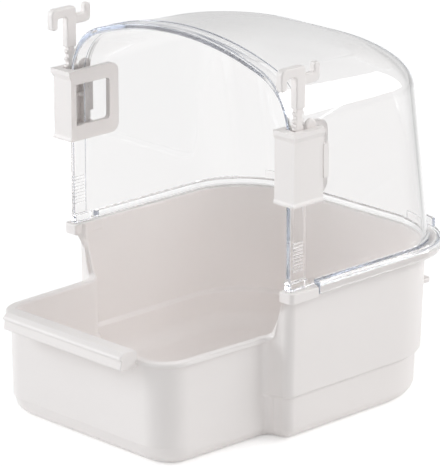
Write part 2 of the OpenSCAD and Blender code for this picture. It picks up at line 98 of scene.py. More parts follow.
class TraySettings(bpy.types.PropertyGroup):
    """Sizes of the white tray."""
    front_w: size("Front width", "Width of the front part at its rim", 0.1015)
    front_taper: size("Front taper", "How much wider each side of the front part is at the step", 0.0012)
    front_l: size("Front length", "Length of the front part, from its front wall to the step", 0.0554)
    front_h: size("Front height", "Height of the front part's rim", 0.0428)
    step_w: size("Step width", "How far each side of the rear part stands out at the step", 0.01005)
    rear_l: size("Rear length", "Length of the rear part, from the step to its back wall", 0.0977)
    rear_h: size("Rear height", "Height of the rear part's rim", TRAY_HIGH.z)
    wall: size("Wall", "Thickness of the walls", 0.0024)
    floor: size("Floor", "Thickness of the floor", 0.0024)
    front_r: size("Front corner", "Radius of the front part's upright corners", 0.013)
    rear_r: size("Rear corner", "Radius of the rear part's upright corners", 0.031)
    rim_r: size("Rim corner", "Radius of the rear rim's outer edge at the back corners", 0.028)
    step_r: size("Hollow corner", "Radius of the hollow corner at the step", 0.003)
    step_corner_r: size("Step corner", "Radius of the corner between the step and the rear side", 0.0042)
    step_slant: size("Step slant", "How far the step slants back towards the rear side", 0.001)
    bottom_r: size("Bottom edge", "Radius round the bottom edge", 0.005)
    foot_step_z: size("Front step height", "Height of the fine step low on the front wall", 0.007)
    foot_step: size("Front step", "How far the front wall is set back below its fine step", 0.0004)
    inner_r: size("Inner bottom edge", "Radius round the floor's edge inside", 0.008)
    front_lean: size("Front lean", "How far the front wall leans out over its height", 0.0006)
    front_side_lean: size("Front side lean", "How far the front part's sides lean out", 0.0002)
    side_lean: size("Side lean", "How far the rear walls lean out over their height", 0.0014)
    front_rim_out: size("Front rim", "How far the front part's rim stands out from its walls", 0.0018)
    front_rim_h: size("Front rim height", "How thick the front part's rim is", 0.0015)
    front_rim_r: size("Front rim corner", "Radius of the front rim's corners", 0.014)
    opening_in: size("Opening foot", "How far outside the front sides the opening's edges start", 0.0022)
    opening_r: size("Opening fillet", "Radius at the foot of the opening's edges", 0.004)
    ledge_z: size("Ledge height", "Height of the ledge in the rear walls", 0.0184)
    ledge_out: size("Ledge width", "How far the rear walls stand out above the ledge", 0.0015)
    ledge_h: size("Ledge rounding", "Height over which the ledge rounds into the walls", 0.0019)
    rim_out: size("Rim flange", "How far the rear rim stands out from its wall", 0.0022)
    rim_h: size("Rim height", "How thick the rear rim is", 0.0032)
    rim_edge: size("Rim edge", "Radius of the rims' edges", 0.00105)
    lip_l: size("Lip length", "Length of the lip bar across the front wall", 0.0686)
    lip_out: size("Lip reach", "How far the lip bar stands in front of the front wall", 0.0081)
    lip_h: size("Lip height", "Height of the lip bar", 0.007)
    lip_up: size("Lip rise", "How far the lip bar rises above the rim", 0.0039)
    lip_tier: size("Lip tier", "How far the top of the lip's lower tier is set back", 0.0009)
    lip_foot: size("Lip foot", "How far the foot of the lip's lower tier is set back", 0.0003)
    lip_upper: size("Lip upper tier", "Height of the lip's upper tier", 0.0027)
    lip_slope_l: size("Lip slope length", "How far back the slope on top of the lip reaches", 0.0024)
    lip_slope_h: size("Lip slope height", "Height of the slope on top of the lip", 0.0015)
    block_l: size("Block length", "Length of the rim block under each leg of the hood", 0.0154)
    block_w: size("Block width", "Width of the rim block", 0.0074)
    block_h: size("Block height", "Height of the rim block", 0.0045)
    block_front: size("Block front", "How far the rim block stands in front of the step", 0.0021)
    shelf_w: size("Shelf width", "Width of the shelf on the back wall", 0.08)
    shelf_t: size("Shelf thickness", "Thickness of the shelf", 0.002)
    shelf_z: size("Shelf height", "Height of the shelf's top", 0.04)
    shelf_out: size("Shelf reach", "How far the shelf stands out from the back wall", 0.0096)


class HoodSettings(bpy.types.PropertyGroup):
    """Sizes of the clear hood."""
    leg_h: size("Leg height", "Height of the straight legs above the tray's rim", 0.062)
    arch_h: size("Arch height", "Height of the arch above the straight legs", 0.03148)
    half_w: size("Half width", "Half the width over the front band", 0.0633)
    shoulder_r: size("Shoulder", "Radius of the shoulders", 0.025)
    roof_r: size("Roof edge", "Radius between the roof and the back wall", 0.02)
    roof_drop: size("Roof drop", "How much lower the roof is at the back than at the front", 0.01)
    back_lean: size("Back lean", "How far the back wall leans forward over its height", 0.013)
    corner_r: size("Back corner", "Radius of the upright back corners", 0.031)
    back_y: size("Back wall", "Distance of the back wall's foot behind the middle of the bath", 0.0768)
    wall: size("Sheet", "Thickness of the clear sheet", 0.0018)
    band_w: size("Band width", "Width of the front band, which forms the legs", 0.009)
    band_proud: size("Band proud", "How far the band stands out from the sheet", 0.0005)
    band_t: size("Band thickness", "Thickness of the front band", 0.0025)
    band_edge: size("Band edge", "Radius of the band's front edges", 0.0008)
    rib_w: size("Rib width", "Width of the raised rib along each edge of the band", 0.0016)
    rib_up: size("Rib height", "Height of the band's ribs", 0.0003)
    flange_t: size("Flange", "Thickness of the flange round the foot of the hood", 0.0018)
    skirt_t: size("Skirt", "Thickness of the skirt outside the tray's rim", 0.0016)
    skirt_h: size("Skirt height", "Height of the skirt", 0.0052)
    skirt_r: size("Skirt corner", "Radius of the skirt's back corners", 0.0299)
    skirt_start: size("Skirt start", "How far behind the legs' front the skirt starts", 0.0142)
    foot_h: size("Foot height", "Height of each leg's foot", 0.0035)
    foot_out: size("Foot reach", "How far each leg's foot stands out from the leg", 0.0006)
    tab_w: size("Tab width", "Width of each finger tab on the back rim", 0.016)
    tab_h: size("Tab height", "Height of each finger tab", 0.0035)
    tab_x: size("Tab place", "Distance of each tab's middle from the middle of the bath", 0.041)
    ridges: IntProperty(name="Grip ridges", description="Number of grip ridges on each leg", default=9,
                        min=1, max=12)
    ridge_pitch: size("Ridge pitch", "Distance between grip ridges", 0.0014)
    ridge_l: size("Ridge length", "Length of a grip ridge", 0.005)
    ridge_r: size("Ridge radius", "Radius of a grip ridge", 0.0003)
    ridge_proud: size("Ridge proud", "How far a grip ridge stands out from the leg", 0.00015)
    ridge_up: size("Ridge place", "Height of the lowest ridge above the foot", 0.0043)


class ClipSettings(bpy.types.PropertyGroup):
    """Sizes of the clips, hooks and tongues."""
    clip_edge: size("Clip edge", "Radius of the clips' outer upright edges", 0.0013)
    frame_edge: share("Clip frame edge", "Radius of the clips' other edges, as a share of that", 0.5)
    stem_t: size("Stem thickness", "Thickness of the hook's toothed stem", 0.0023)
    stem_w: size("Stem width", "Width of the hook's stem over its teeth", 0.005)
    tooth_pitch: size("Tooth pitch", "Distance between teeth", 0.0031)
    tooth_d: size("Tooth depth", "Depth of the teeth", 0.0009)
    teeth_l: size("Toothed length", "Length of the toothed stem", 0.034)
    head_in: size("Head inside", "How far the hook's head stands in from the stem's plate", 0.0001)
    head_out: size("Head outside", "How far the hook's head stands out from the stem's plate", 0.0004)
    arm_w: size("Arm width", "Width of the hook's arms", 0.0032)
    wire_gap: size("Wire gap", "Gap that a cage wire goes into", 0.0049)
    bar_h: size("Bar height", "Height of the hook's bar", 0.004)
    arm_down: size("Front arm", "How far the front arm turns down", 0.0086)
    rear_low: size("Rear arm", "How far below the bar's top the rear arm starts", 0.0037)
    rear_up: size("Rear arm end", "How far the rear arm's end stands above the bar", 0.0002)
    rear_thin: size("Rear arm inset", "How far each face of the rear arm is set back from the bar", 0.0003)
    hook_edge: size("Hook edge", "Radius of the hooks' edges", 0.0007)
    tongue_t: size("Tongue thickness", "Thickness of the locking tongue", 0.0026)
    knuckle_r: size("Knuckle", "Radius of the tongue's knuckle", 0.0015)
    nub_r: size("Thumb nub", "Radius of the tongue's thumb nub", 0.003)
    nub_edge: size("Nub edge", "Radius of the thumb nub's edges", 0.0011)
    ridge_low: size("Tongue ridge", "Height of the tongue's ridge above its knuckle", 0.0126)
    ridge_h: size("Tongue ridge height", "Height of the tongue's ridge", 0.0034)
    ridge_out: size("Tongue ridge depth", "How far the tongue's ridge stands out", 0.0012)
    tooth_low: size("Tongue tooth", "Height of the tongue's tooth above the foot of its ridge", 0.0008)
    tooth_h: size("Tongue tooth height", "Height of the tongue's tooth", 0.0014)


class FinishSettings(bpy.types.PropertyGroup):
    """Colours and finish of the plastics."""
    white: colour("White plastic", "Colour of the tray, clips and hooks", (0.935, 0.90, 0.885))
    white_low: colour("White clouds", "Colour in the moulding's faint clouds", (0.915, 0.878, 0.862))
    white_rough: share("White roughness", "Roughness of the white plastic", 0.38)
    clear_body: colour("Clear plastic", "Tint that thick clear plastic takes", (0.70, 0.73, 0.785))
    clear_depth: level("Clear depth", "How fast the clear plastic's tint deepens, per metre", 10.0)
    clear_rough: share("Clear roughness", "Roughness of the polished clear plastic", 0.03)


class StageSettings(bpy.types.PropertyGroup):
    """Camera, lamps and floor."""
    azimuth: angle("Azimuth", "Camera's turn from straight ahead", 45.79)
    elevation: angle("Elevation", "Camera's height above the horizon", 17.7)
    distance: size("Distance", "Camera's distance from its target", 1.39655)
    target_right: size("Target shift", "How far the target lies to the right of the bath's middle", 0.01723)
    target_front: size("Target front", "How far the target lies in front of the bath's middle", 0.0225)
    target_z: size("Target height", "Height of the camera's target", 0.0735)
    lens: level("Lens", "Focal length in millimetres on a sensor 36 mm wide", 286.4)
    floor_white: share("Floor", "Whiteness of the floor", 0.9)
    ambient: level("Ambient", "Strength of the light from all round", 0.27)
    gloss: level("Reflected room", "Strength of the room that polished faces reflect", 0.55)
    through: level("Room behind", "Strength of the room seen through the clear plastic", 0.85)
    floor_lift: level("Floor lift", "How much paler than its paint the floor looks near the bath", 0.34)
    floor_far: level("Far floor lift", "How much paler than its paint the floor looks far away", 0.8)
    far_start: size("Far floor start", "Distance from the bath's middle where the floor turns paler", 0.4)
    far_end: size("Far floor end", "Distance from the bath's middle where the floor is palest", 1.4)
    floor_gloss: level("Floor reflected", "How much paler the floor looks in polished faces", 0.3)
    floor_through: level("Floor behind", "Brightness of the floor seen through the clear plastic", 0.95)
    # Painted shade: seen through the clear plastic, the floor turns grey on both sides of the camera's
    # middle line, which darkens the plastic's edges
    painted_shade_beside: level("Floor beside", "Brightness, seen so, of the floor on both sides of the bath", 0.55)
    beside: size("Beside", "How far from the camera's middle line the floor starts to darken", 0.14)
    beside_turn: angle("Beside turn", "Turn of the direction in which the floor darkens", 45.79)
    left_power: level("Left softbox", "Power of the left softbox, in watts", 8.3)
    right_power: level("Right softbox", "Power of the right softbox, in watts", 8.0)
    top_power: level("Top softbox", "Power of the softbox overhead, in watts", 2.2)
    front_power: level("Front softbox", "Power of the softbox above the camera, in watts", 3.0)


class BathSettings(bpy.types.PropertyGroup):
    """All settings of the bird bath."""
    tray: PointerProperty(type=TraySettings)
    hood: PointerProperty(type=HoodSettings)
    clips: PointerProperty(type=ClipSettings)
    finish: PointerProperty(type=FinishSettings)
    stage: PointerProperty(type=StageSettings)


# Mesh helpers

def smooth(f):
    """Eases from 0 to 1 with level ends."""
    f = np.clip(f, 0.0, 1.0)
    return f * f * (3 - 2 * f)


def new_object(name, data):
    """A new object in the scene."""
    piece = bpy.data.objects.new(name, data)
    bpy.context.scene.collection.objects.link(piece)
    return piece


def even_shading(piece):
    """Lets large faces set the shading, so that flats stay flat beside rounded edges."""
    modifier = piece.modifiers.new("Even shading", "WEIGHTED_NORMAL")
    modifier.weight = 80
    modifier.keep_sharp = True


def edited(mesh):
    """A mesh as a shape that can be edited."""
    shape = bmesh.new()
    shape.from_mesh(mesh)
    return shape


def write_smooth(shape, mesh):
    """Writes an edited shape back to its mesh, with smooth faces."""
    for face in shape.faces:
        face.smooth = True
    shape.to_mesh(mesh)
    shape.free()


def closed_piece(name, points, faces):
    """A smooth object from points and faces, with doubled points merged and all faces turned outwards."""
    mesh = bpy.data.meshes.new(name)
    mesh.from_pydata([tuple(p) for p in points], [], faces)
    shape = edited(mesh)
    bmesh.ops.remove_doubles(shape, verts=shape.verts, dist=MERGE)
    bmesh.ops.dissolve_degenerate(shape, edges=shape.edges, dist=MERGE)
    bmesh.ops.recalc_face_normals(shape, faces=shape.faces)
    write_smooth(shape, mesh)
    piece = new_object(name, mesh)
    even_shading(piece)
    return piece


def grid_faces(rows, columns, wrap):
    """Four-sided faces of a grid of points, numbered row by row; wrap joins each row's end to its start."""
    last = columns if wrap else columns - 1
    faces = []
    for r in range(rows - 1):
        for c in range(last):
            d = (c + 1) % columns
            faces.append((r * columns + c, r * columns + d, (r + 1) * columns + d, (r + 1) * columns + c))
    return faces


def tube_faces(rows, columns):
    """Faces of a tube whose rows of points are closed rings, with both of its ends filled."""
    faces = grid_faces(rows, columns, True)
    faces.append(tuple(range(columns)))
    faces.append(tuple(range((rows - 1) * columns, rows * columns)))
    return faces


def filleted(corners, steps=6):
    """An outline with each corner (u, v, radius) rounded; a radius of 0 stays sharp."""
    nearly_straight = radians(89)
    outline = []
    count = len(corners)
    for i, (u, v, radius) in enumerate(corners):
        here = Vector((u, v))
        before = (Vector(corners[i - 1][:2]) - here).normalized()
        after = (Vector(corners[(i + 1) % count][:2]) - here).normalized()
        half = before.angle(after) / 2
        if radius == 0 or half > nearly_straight:
            outline.append(here)
            continue
        centre = here + (before + after).normalized() * (radius / sin(half))
        start = here + before * (radius / tan(half)) - centre
        end = here + after * (radius / tan(half)) - centre
        sweep = start.angle_signed(end)
        for k in range(steps + 1):
            turn = -sweep * k / steps
            outline.append(centre + Vector((start.x * cos(turn) - start.y * sin(turn),
                                            start.x * sin(turn) + start.y * cos(turn))))
    return outline


def drawn_in(outline, depth):
    """The outline, turning left, drawn in by depth along its corners' bisectors, up to twice depth."""
    least = 0.5
    count = len(outline)
    drawn = []
    for i, here in enumerate(outline):
        a = (here - outline[i - 1]).normalized()
        b = (outline[(i + 1) % count] - here).normalized()
        side = Vector((-a.y - b.y, a.x + b.x)).normalized()
        reach = depth / max(least, side.dot(Vector((-a.y, a.x))))
        drawn.append(here + side * reach)
    return drawn


def along_x(along, u, v):
    """Place of a prism's point where the prism lies along X."""
    return along, u, v


def along_z(along, u, v):
    """Place of a prism's point where the prism stands along Z."""
    return u, v, along


def rounded_prism(name, corners, low, high, edge, place=along_x, steps=4, parts=1):
    """A prism from an outline that turns left, with rounded edges at both ends. It may be cut into parts
    along its length, and place may lay it along a curve. Rounded corners need a radius larger than edge,
    or the drawn-in outline would cross itself."""
    outline = filleted(corners)
    turns = [pi / 2 * k / steps for k in range(steps + 1)]
    layers = [(low + edge * (1 - cos(t)), edge * (1 - sin(t))) for t in turns]
    layers += [(low + edge + (high - low - 2 * edge) * k / parts, 0.0) for k in range(1, parts)]
    layers += [(high - edge * (1 - cos(t)), edge * (1 - sin(t))) for t in reversed(turns)]
    points = []
    for along, depth in layers:
        points += [place(along, p.x, p.y) for p in drawn_in(outline, depth)]
    return closed_piece(name, points, tube_faces(len(layers), len(outline)))


def mirrored_piece(piece):
    """A copy of a right-hand piece on the other side of X = 0, named for the left."""
    name = piece.name.replace("right", "left")
    mesh = piece.data.copy()
    mesh.name = name
    shape = edited(mesh)
    for vert in shape.verts:
        vert.co.x = -vert.co.x
    bmesh.ops.reverse_faces(shape, faces=shape.faces)
    write_smooth(shape, mesh)
    twin = new_object(name, mesh)
    even_shading(twin)
    return twin


def plain_mesh(piece):
    """The piece's shape with its modifiers applied, as a plain mesh; the modifiers are removed."""
    graph = bpy.context.evaluated_depsgraph_get()
    mesh = bpy.data.meshes.new_from_object(piece.evaluated_get(graph), depsgraph=graph)
    piece.modifiers.clear()
    return mesh


def joined(piece, others):
    """One closed piece from pieces that reach into each other; the others are used up."""
    for other in others:
        other.modifiers.clear()
    piece.modifiers.clear()
    for other in others:
        union = piece.modifiers.new("Join " + other.name, "BOOLEAN")
        union.operation = "UNION"
        union.solver = "EXACT"
        union.object = other
    mesh = plain_mesh(piece)
    for other in others:
        bpy.data.objects.remove(other)
    shape = edited(mesh)
    bmesh.ops.remove_doubles(shape, verts=shape.verts, dist=MERGE)
    write_smooth(shape, mesh)
    mesh.set_sharp_from_angle(angle=SHARP)
    piece.data = mesh
    even_shading(piece)
    return piece


def settle(piece, body, material, node=None):
    """Gives a piece its finish and the body that it moves with, and hides the node that it stands for."""
    piece.data.materials.clear()
    piece.data.materials.append(material)
    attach(piece, body)
    if node:
        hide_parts(node)


def settle_pair(made, part):
    """Settles right-hand pieces and their mirror images on their nodes' bodies, and hides both nodes."""
    twins = [mirrored_piece(p) for p in made]
    for node, pieces in (("right_" + part, made), ("left_" + part, twins)):
        for piece in pieces:
            settle(piece, node, white_plastic())
        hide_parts(node)


# Node helpers

def add_node(tree, kind, values=None, **fields):
    """A new node with its fields set, and then the values of its inputs, by name or number."""
    node = tree.nodes.new(kind)
    for field, value in fields.items():
        setattr(node, field, value)
    for socket, value in (values or {}).items():
        node.inputs[socket].default_value = value
    return node


def link_nodes(tree, links):
    """Links nodes; each link is a node, its output, the next node and its input."""
    for source, output, sink, socket in links:
        tree.links.new(source.outputs[output], sink.inputs[socket])


def by_ray(tree, ray, base, rays):
    """A strength that is base, but another number or a node's output for some kinds of ray; where two
    kinds meet, the later one wins."""
    strength = None
    for kind, brightness in rays:
        blend = add_node(tree, "ShaderNodeMix", {"A": base})
        tree.links.new(ray.outputs[kind], blend.inputs["Factor"])
        if strength:
            tree.links.new(strength, blend.inputs["A"])
        if isinstance(brightness, float):
            blend.inputs["B"].default_value = brightness
        else:
            tree.links.new(brightness, blend.inputs["B"])
        strength = blend.outputs["Result"]
    return strength


# Repeated shapes, by geometry nodes

def row_tree():
    """A node tree that repeats the object's own mesh along a line."""
    tree = bpy.data.node_groups.get("Row of like shapes")
    if tree:
        return tree
    tree = bpy.data.node_groups.new("Row of like shapes", "GeometryNodeTree")
    kinds = {"Geometry": "Geometry", "Count": "Int", "Step": "Vector", "Material": "Material"}
    for name, kind in kinds.items():
        tree.interface.new_socket(name, in_out="INPUT", socket_type="NodeSocket" + kind)
    tree.interface.new_socket("Geometry", in_out="OUTPUT", socket_type="NodeSocketGeometry")
    given = add_node(tree, "NodeGroupInput")
    line = add_node(tree, "GeometryNodeMeshLine", mode="OFFSET")
    place = add_node(tree, "GeometryNodeInstanceOnPoints")
    plain = add_node(tree, "GeometryNodeRealizeInstances")
    paint = add_node(tree, "GeometryNodeSetMaterial")
    result = add_node(tree, "NodeGroupOutput")
    link_nodes(tree, [
        (given, "Count", line, "Count"),
        (given, "Step", line, "Offset"),
        (line, "Mesh", place, "Points"),
        (given, "Geometry", place, "Instance"),
        (place, "Instances", plain, "Geometry"),
        (plain, "Geometry", paint, "Geometry"),
        (given, "Material", paint, "Material"),
        (paint, "Geometry", result, "Geometry"),
    ])
    return tree


def repeat(piece, count, step, material):
    """Turns a piece into a row of itself, as one plain mesh."""
    piece.modifiers.clear()
    tree = row_tree()
    modifier = piece.modifiers.new("Row", "NODES")
    modifier.node_group = tree
    inputs = {s.name: s.identifier for s in tree.interface.items_tree if s.in_out == "INPUT"}
    modifier[inputs["Count"]] = count
    modifier[inputs["Step"]] = step
    modifier[inputs["Material"]] = material
    piece.data = plain_mesh(piece)
    even_shading(piece)


# Materials

def white_plastic():
    """Satin white moulding: faint clouds of colour and gloss, and a fine skin texture."""
    material = bpy.data.materials.get("White plastic")
    if material:
        return material
    look = bpy.context.scene.bird_bath.finish
    rough_spread = 0.05
    material = bpy.data.materials.new("White plastic")
    material.use_nodes = True
    tree = material.node_tree
    shader = tree.nodes["Principled BSDF"]
    shader.inputs["IOR"].default_value = 1.46
    where = add_node(tree, "ShaderNodeTexCoord")
    clouds = add_node(tree, "ShaderNodeTexNoise", {"Scale": 38.0, "Detail": 4.0})
    tone = add_node(tree, "ShaderNodeMix", {"A": (*look.white_low, 1.0), "B": (*look.white, 1.0)},
                    data_type="RGBA")
    gloss = add_node(tree, "ShaderNodeMapRange", {
        "To Min": look.white_rough - rough_spread,
        "To Max": look.white_rough + rough_spread,
    })
    skin = add_node(tree, "ShaderNodeTexNoise", {"Scale": 1400.0, "Detail": 2.0})
    bump = add_node(tree, "ShaderNodeBump", {"Strength": 0.05, "Distance": 0.0002})
    link_nodes(tree, [
        (where, "Object", clouds, "Vector"),
        (where, "Object", skin, "Vector"),
        (clouds, "Fac", tone, "Factor"),
        (clouds, "Fac", gloss, "Value"),
        (tone, "Result", shader, "Base Color"),
        (gloss, "Result", shader, "Roughness"),
        (skin, "Fac", bump, "Height"),
        (bump, "Normal", shader, "Normal"),
    ])
    return material


def clear_plastic():
    """Polished clear moulding, faintly blue where light goes a long way through it."""
    material = bpy.data.materials.get("Clear plastic")
    if material:
        return material
    look = bpy.context.scene.bird_bath.finish
    material = bpy.data.materials.new("Clear plastic")
    material.use_nodes = True
    tree = material.node_tree
    shader = tree.nodes["Principled BSDF"]
    shader.inputs["Base Color"].default_value = (0.995, 0.99, 0.988, 1.0)
    shader.inputs["Transmission Weight"].default_value = 1.0
    shader.inputs["IOR"].default_value = 1.5
    where = add_node(tree, "ShaderNodeTexCoord")
    haze = add_node(tree, "ShaderNodeTexNoise", {"Scale": 30.0, "Detail": 3.0})
    gloss = add_node(tree, "ShaderNodeMapRange", {"To Min": 0.0, "To Max": look.clear_rough})
    depth = add_node(tree, "ShaderNodeVolumeAbsorption",
                     {"Color": (*look.clear_body, 1.0), "Density": look.clear_depth})
    link_nodes(tree, [
        (where, "Object", haze, "Vector"),
        (haze, "Fac", gloss, "Value"),
        (gloss, "Result", shader, "Roughness"),
        (depth, "Volume", tree.nodes["Material Output"], "Volume"),
    ])
    return material


# Tray

# Runs of the tray's half outline, from the middle of the front to that of the back, with their points
TRAY_RUNS = (("front", 8), ("front_corner", 18), ("side", 16), ("hollow", 12), ("facet", 18), ("step", 8),
             ("rear_side", 14), ("rear_corner", 24), ("back", 8))
# Largest radii of the hollow and of the outer corner at the step, as shares of the step's width
HOLLOW_SHARE = 0.6
CORNER_SHARE = 0.45
# Smallest radius of that outer corner
CORNER_LEAST = 0.0005
# How far short of the rear walls' inside the opening's edges end
OPENING_END = 0.001
# Height over which a rim runs out into the wall below it
UNDER_RIM = 0.001
# How far the bottom edge is set back, and how high the fine step is, as multiples of the step's depth
BOTTOM_BACK = 3
STEP_RISE = 0.6
# How far the rim blocks' tops lie below the rim's, so that no two faces share a plane
BLOCK_LOW = 0.00006


def tray_places(tray):
    """Where the front wall, the step and the back wall stand along the bath."""
    front = TRAY_LOW.y + tray.lip_out
    step = front + tray.front_l
    return front, step, step + tray.rear_l


def tray_half_ring(tray, z, inset, out, front_out):
    """Half of the tray's outline, from the middle of the front round the right side to that of the back.
    Each point has its own height, inset from the outside, and moves outwards of the rear and front walls."""
    count = sum(n for _, n in TRAY_RUNS)
    given = (z, inset, out, front_out)
    z, inset, out, front_out = (np.broadcast_to(np.asarray(v, float), count) for v in given)
    front, step, back = tray_places(tray)
    side_slope = tray.side_lean / tray.rear_h
    front_slope = tray.front_lean / tray.front_h
    front_side_slope = tray.front_side_lean / tray.front_h
    half_front = tray.front_w / 2
    half_rear = half_front + tray.front_taper + tray.step_w
    w_front = half_front - tray.front_rim_out + front_out - front_side_slope * (tray.front_h - z) - inset
    w_step = w_front + tray.front_taper
    w_rear = half_rear - side_slope * (tray.rear_h - z) + out - inset
    y_front = front + tray.front_rim_out - front_out + front_slope * (tray.front_h - z) + inset
    y_step = step - out + inset
    y_back = back - side_slope * (tray.rear_h - z) + out - inset
    room = w_rear - w_step
    on_rim = np.clip(front_out / tray.front_rim_out, 0, 1)
    r_front = tray.front_r + (tray.front_rim_r - tray.front_r) * on_rim - inset
    r_hollow = np.minimum(tray.step_r + inset, room * HOLLOW_SHARE)
    r_step = np.maximum(np.minimum(tray.step_corner_r - inset, room * CORNER_SHARE), CORNER_LEAST)
    r_rear = tray.rear_r + (tray.rim_r - tray.rear_r) * np.clip(out / tray.rim_out, 0, 1) - inset
    y_corner = y_step + tray.step_slant
    zero = np.zeros(count)
    stations = {
        "front": ("run", (zero, y_front), (w_front - r_front, y_front)),
        "front_corner": ("arc", (w_front - r_front, y_front + r_front), r_front, -90, 0),
        "side": ("run", (w_front, y_front + r_front), (w_step, y_step - r_hollow)),
        "hollow": ("arc", (w_step + r_hollow, y_step - r_hollow), r_hollow, 180, 90),
        "facet": ("run", (w_step + r_hollow, y_step), (w_rear - r_step, y_corner)),
        "step": ("arc", (w_rear - r_step, y_corner + r_step), r_step, -90, 0),
        "rear_side": ("run", (w_rear, y_corner + r_step), (w_rear, y_back - r_rear)),
        "rear_corner": ("arc", (w_rear - r_rear, y_back - r_rear), r_rear, 0, 90),
        "back": ("run", (w_rear - r_rear, y_back), (zero, y_back)),
    }
    ring = np.zeros((count, 3))
    ring[:, 2] = z
    first = 0
    for name, n in TRAY_RUNS:
        part = slice(first, first + n)
        kind, start, *rest = stations[name]
        if kind == "arc":
            turn = np.radians(np.linspace(rest[1], rest[2], n))
            ring[part, 0] = start[0][part] + rest[0][part] * np.cos(turn)
            ring[part, 1] = start[1][part] + rest[0][part] * np.sin(turn)
        else:
            f = np.linspace(0, 1, n + 2)[1:-1]
            if name == "front":
                f = np.linspace(0, 1, n + 1)[:-1]
            if name == "back":
                f = np.linspace(0, 1, n + 1)[1:]
            for axis in (0, 1):
                ring[part, axis] = start[axis][part] * (1 - f) + rest[0][axis][part] * f
        first += n
    return ring


def opening_height(tray, x):
    """Height of the opening's edge above the front rim; it runs up steeply from a fillet at its foot."""
    foot = tray.front_w / 2 + tray.front_taper + tray.opening_in
    head = tray.front_w / 2 + tray.front_taper + tray.step_w - tray.wall - OPENING_END
    tall = tray.rear_h - tray.front_h
    slant = atan(tall / (head - foot))
    r = tray.opening_r
    start = foot - r * tan(slant / 2)
    end = start + r * sin(slant)
    curve = r - np.sqrt(np.maximum(r * r - np.clip(x - start, 0, r) ** 2, 0))
    line = r * (1 - cos(slant)) + (x - end) * tan(slant)
    return np.clip(np.where(x < end, curve, line), 0, tall)


def tray_rows(tray):
    """Rows of height, inset and outward moves: up the outside of the walls, over the rim and down inside."""
    shape = tray_half_ring(tray, tray.front_h, 0, 0, tray.front_rim_out)
    starts = dict(zip([n for n, _ in TRAY_RUNS], np.cumsum([0] + [n for _, n in TRAY_RUNS])))
    rise = opening_height(tray, shape[:, 0])
    rise[:starts["hollow"]] = 0
    rise[starts["step"]:] = tray.rear_h - tray.front_h
    # The front rim fades out over the middle of the opening's edge; the rear rim grows over its top tenth
    climb = rise / (tray.rear_h - tray.front_h)
    flange = smooth((climb - 0.9) / 0.1) * tray.rim_out
    front_flange = (1 - smooth((climb - 0.2) / 0.6)) * tray.front_rim_out
    rim_h = tray.front_rim_h + climb * (tray.rim_h - tray.front_rim_h)
    top = tray.front_h + rise
    low, high = tray.ledge_z - tray.ledge_h / 2, tray.ledge_z + tray.ledge_h / 2
    quarter = np.radians(np.linspace(0, 90, 7))
    edge, ledge, bottom = tray.rim_edge, tray.ledge_out, tray.bottom_r
    # The fine step runs along the front and fades out round the front corner
    corner, side = starts["front_corner"], starts["side"]
    set_back = np.zeros(len(shape))
    set_back[:corner] = tray.foot_step
    set_back[corner:side] = tray.foot_step * (1 - smooth(np.linspace(0, 1, side - corner)))
    rows = []
    for a in quarter:
        rows.append((bottom * (1 - cos(a)), bottom * (1 - sin(a)), -ledge, -BOTTOM_BACK * set_back))
    for f in np.linspace(0, 1, 5):
        z = tray.foot_step_z + STEP_RISE * tray.foot_step * f
        rows.append((z, 0, -ledge, -set_back * (1 - smooth(f))))
    rows.append(((low + bottom) / 2, 0, -ledge, 0))
    for f in np.linspace(0, 1, 9):
        rows.append((low + (high - low) * f, 0, -ledge * (1 - smooth(f)), 0))
    for f in (0.25, 0.5, 0.75):
        rows.append((high + f * (top - rim_h - UNDER_RIM - high), 0, 0, 0))
    for f in np.linspace(0, 1, 7):
        rows.append((top - rim_h - UNDER_RIM * (1 - f), 0, flange * smooth(f), front_flange * smooth(f)))
    rows.append((top - 0.5 * (rim_h + edge), 0, flange, front_flange))
    for a in quarter:
        rows.append((top - edge * (1 - sin(a)), edge * (1 - cos(a)), flange, front_flange))
    for f in (0.33, 0.67):
        rows.append((top, edge + f * (tray.wall - 2 * edge), flange * (1 - f), front_flange * (1 - f)))
    for a in quarter:
        rows.append((top - edge * (1 - cos(a)), tray.wall - edge * (1 - sin(a)), 0, 0))
    for f in (0.25, 0.5, 0.75):
        rows.append((top - edge + f * (high - top + edge), tray.wall, 0, 0))
    for f in np.linspace(0, 1, 9):
        rows.append((high + (low - high) * f, tray.wall, -ledge * smooth(f), 0))
    rows.append(((low + tray.floor + tray.inner_r) / 2, tray.wall, -ledge, 0))
    for a in quarter[::-1]:
        z = tray.floor + tray.inner_r * (1 - cos(a))
        rows.append((z, tray.wall + tray.inner_r * (1 - sin(a)), -ledge, 0))
    return rows


def tray_tub(tray):
    """The tray's moulded walls and floor, skinned over their rows; the level faces are cut in strips."""
    rings = []
    for row in tray_rows(tray):
        half = tray_half_ring(tray, *row)
        rings.append(np.concatenate([half, half[-2:0:-1] * [-1, 1, 1]]))
    columns = len(rings[0])
    faces = grid_faces(len(rings), columns, True)
    for first in (0, (len(rings) - 1) * columns):
        for i in range(columns // 2):
            strip = (i, i + 1, (columns - i - 1) % columns, (columns - i) % columns)
            faces.append(tuple(dict.fromkeys(first + k for k in strip)))
    return closed_piece("tray_tub", np.concatenate(rings), faces)


def tray_lip(tray):
    """The lip bar across the front wall: an upper tier with a sloped top, and a lower one that leans out."""
    edge = 0.00038
    y0 = TRAY_LOW.y
    y1 = y0 + tray.lip_out + tray.wall / 2
    z0 = tray.front_h + tray.lip_up - tray.lip_h
    z1 = z0 + tray.lip_h
    mid = z1 - tray.lip_upper
    corners = [
        (y0 + tray.lip_foot, z0, 0.0008), (y1, z0, 0), (y1, z1, 0.0018), (y0 + tray.lip_slope_l, z1, 0.0004),
        (y0, z1 - tray.lip_slope_h, 0.0012), (y0, mid, 0.0004), (y0 + tray.lip_tier, mid, 0.0004),
    ]
    return rounded_prism("tray_lip", corners, -tray.lip_l / 2, tray.lip_l / 2, edge)


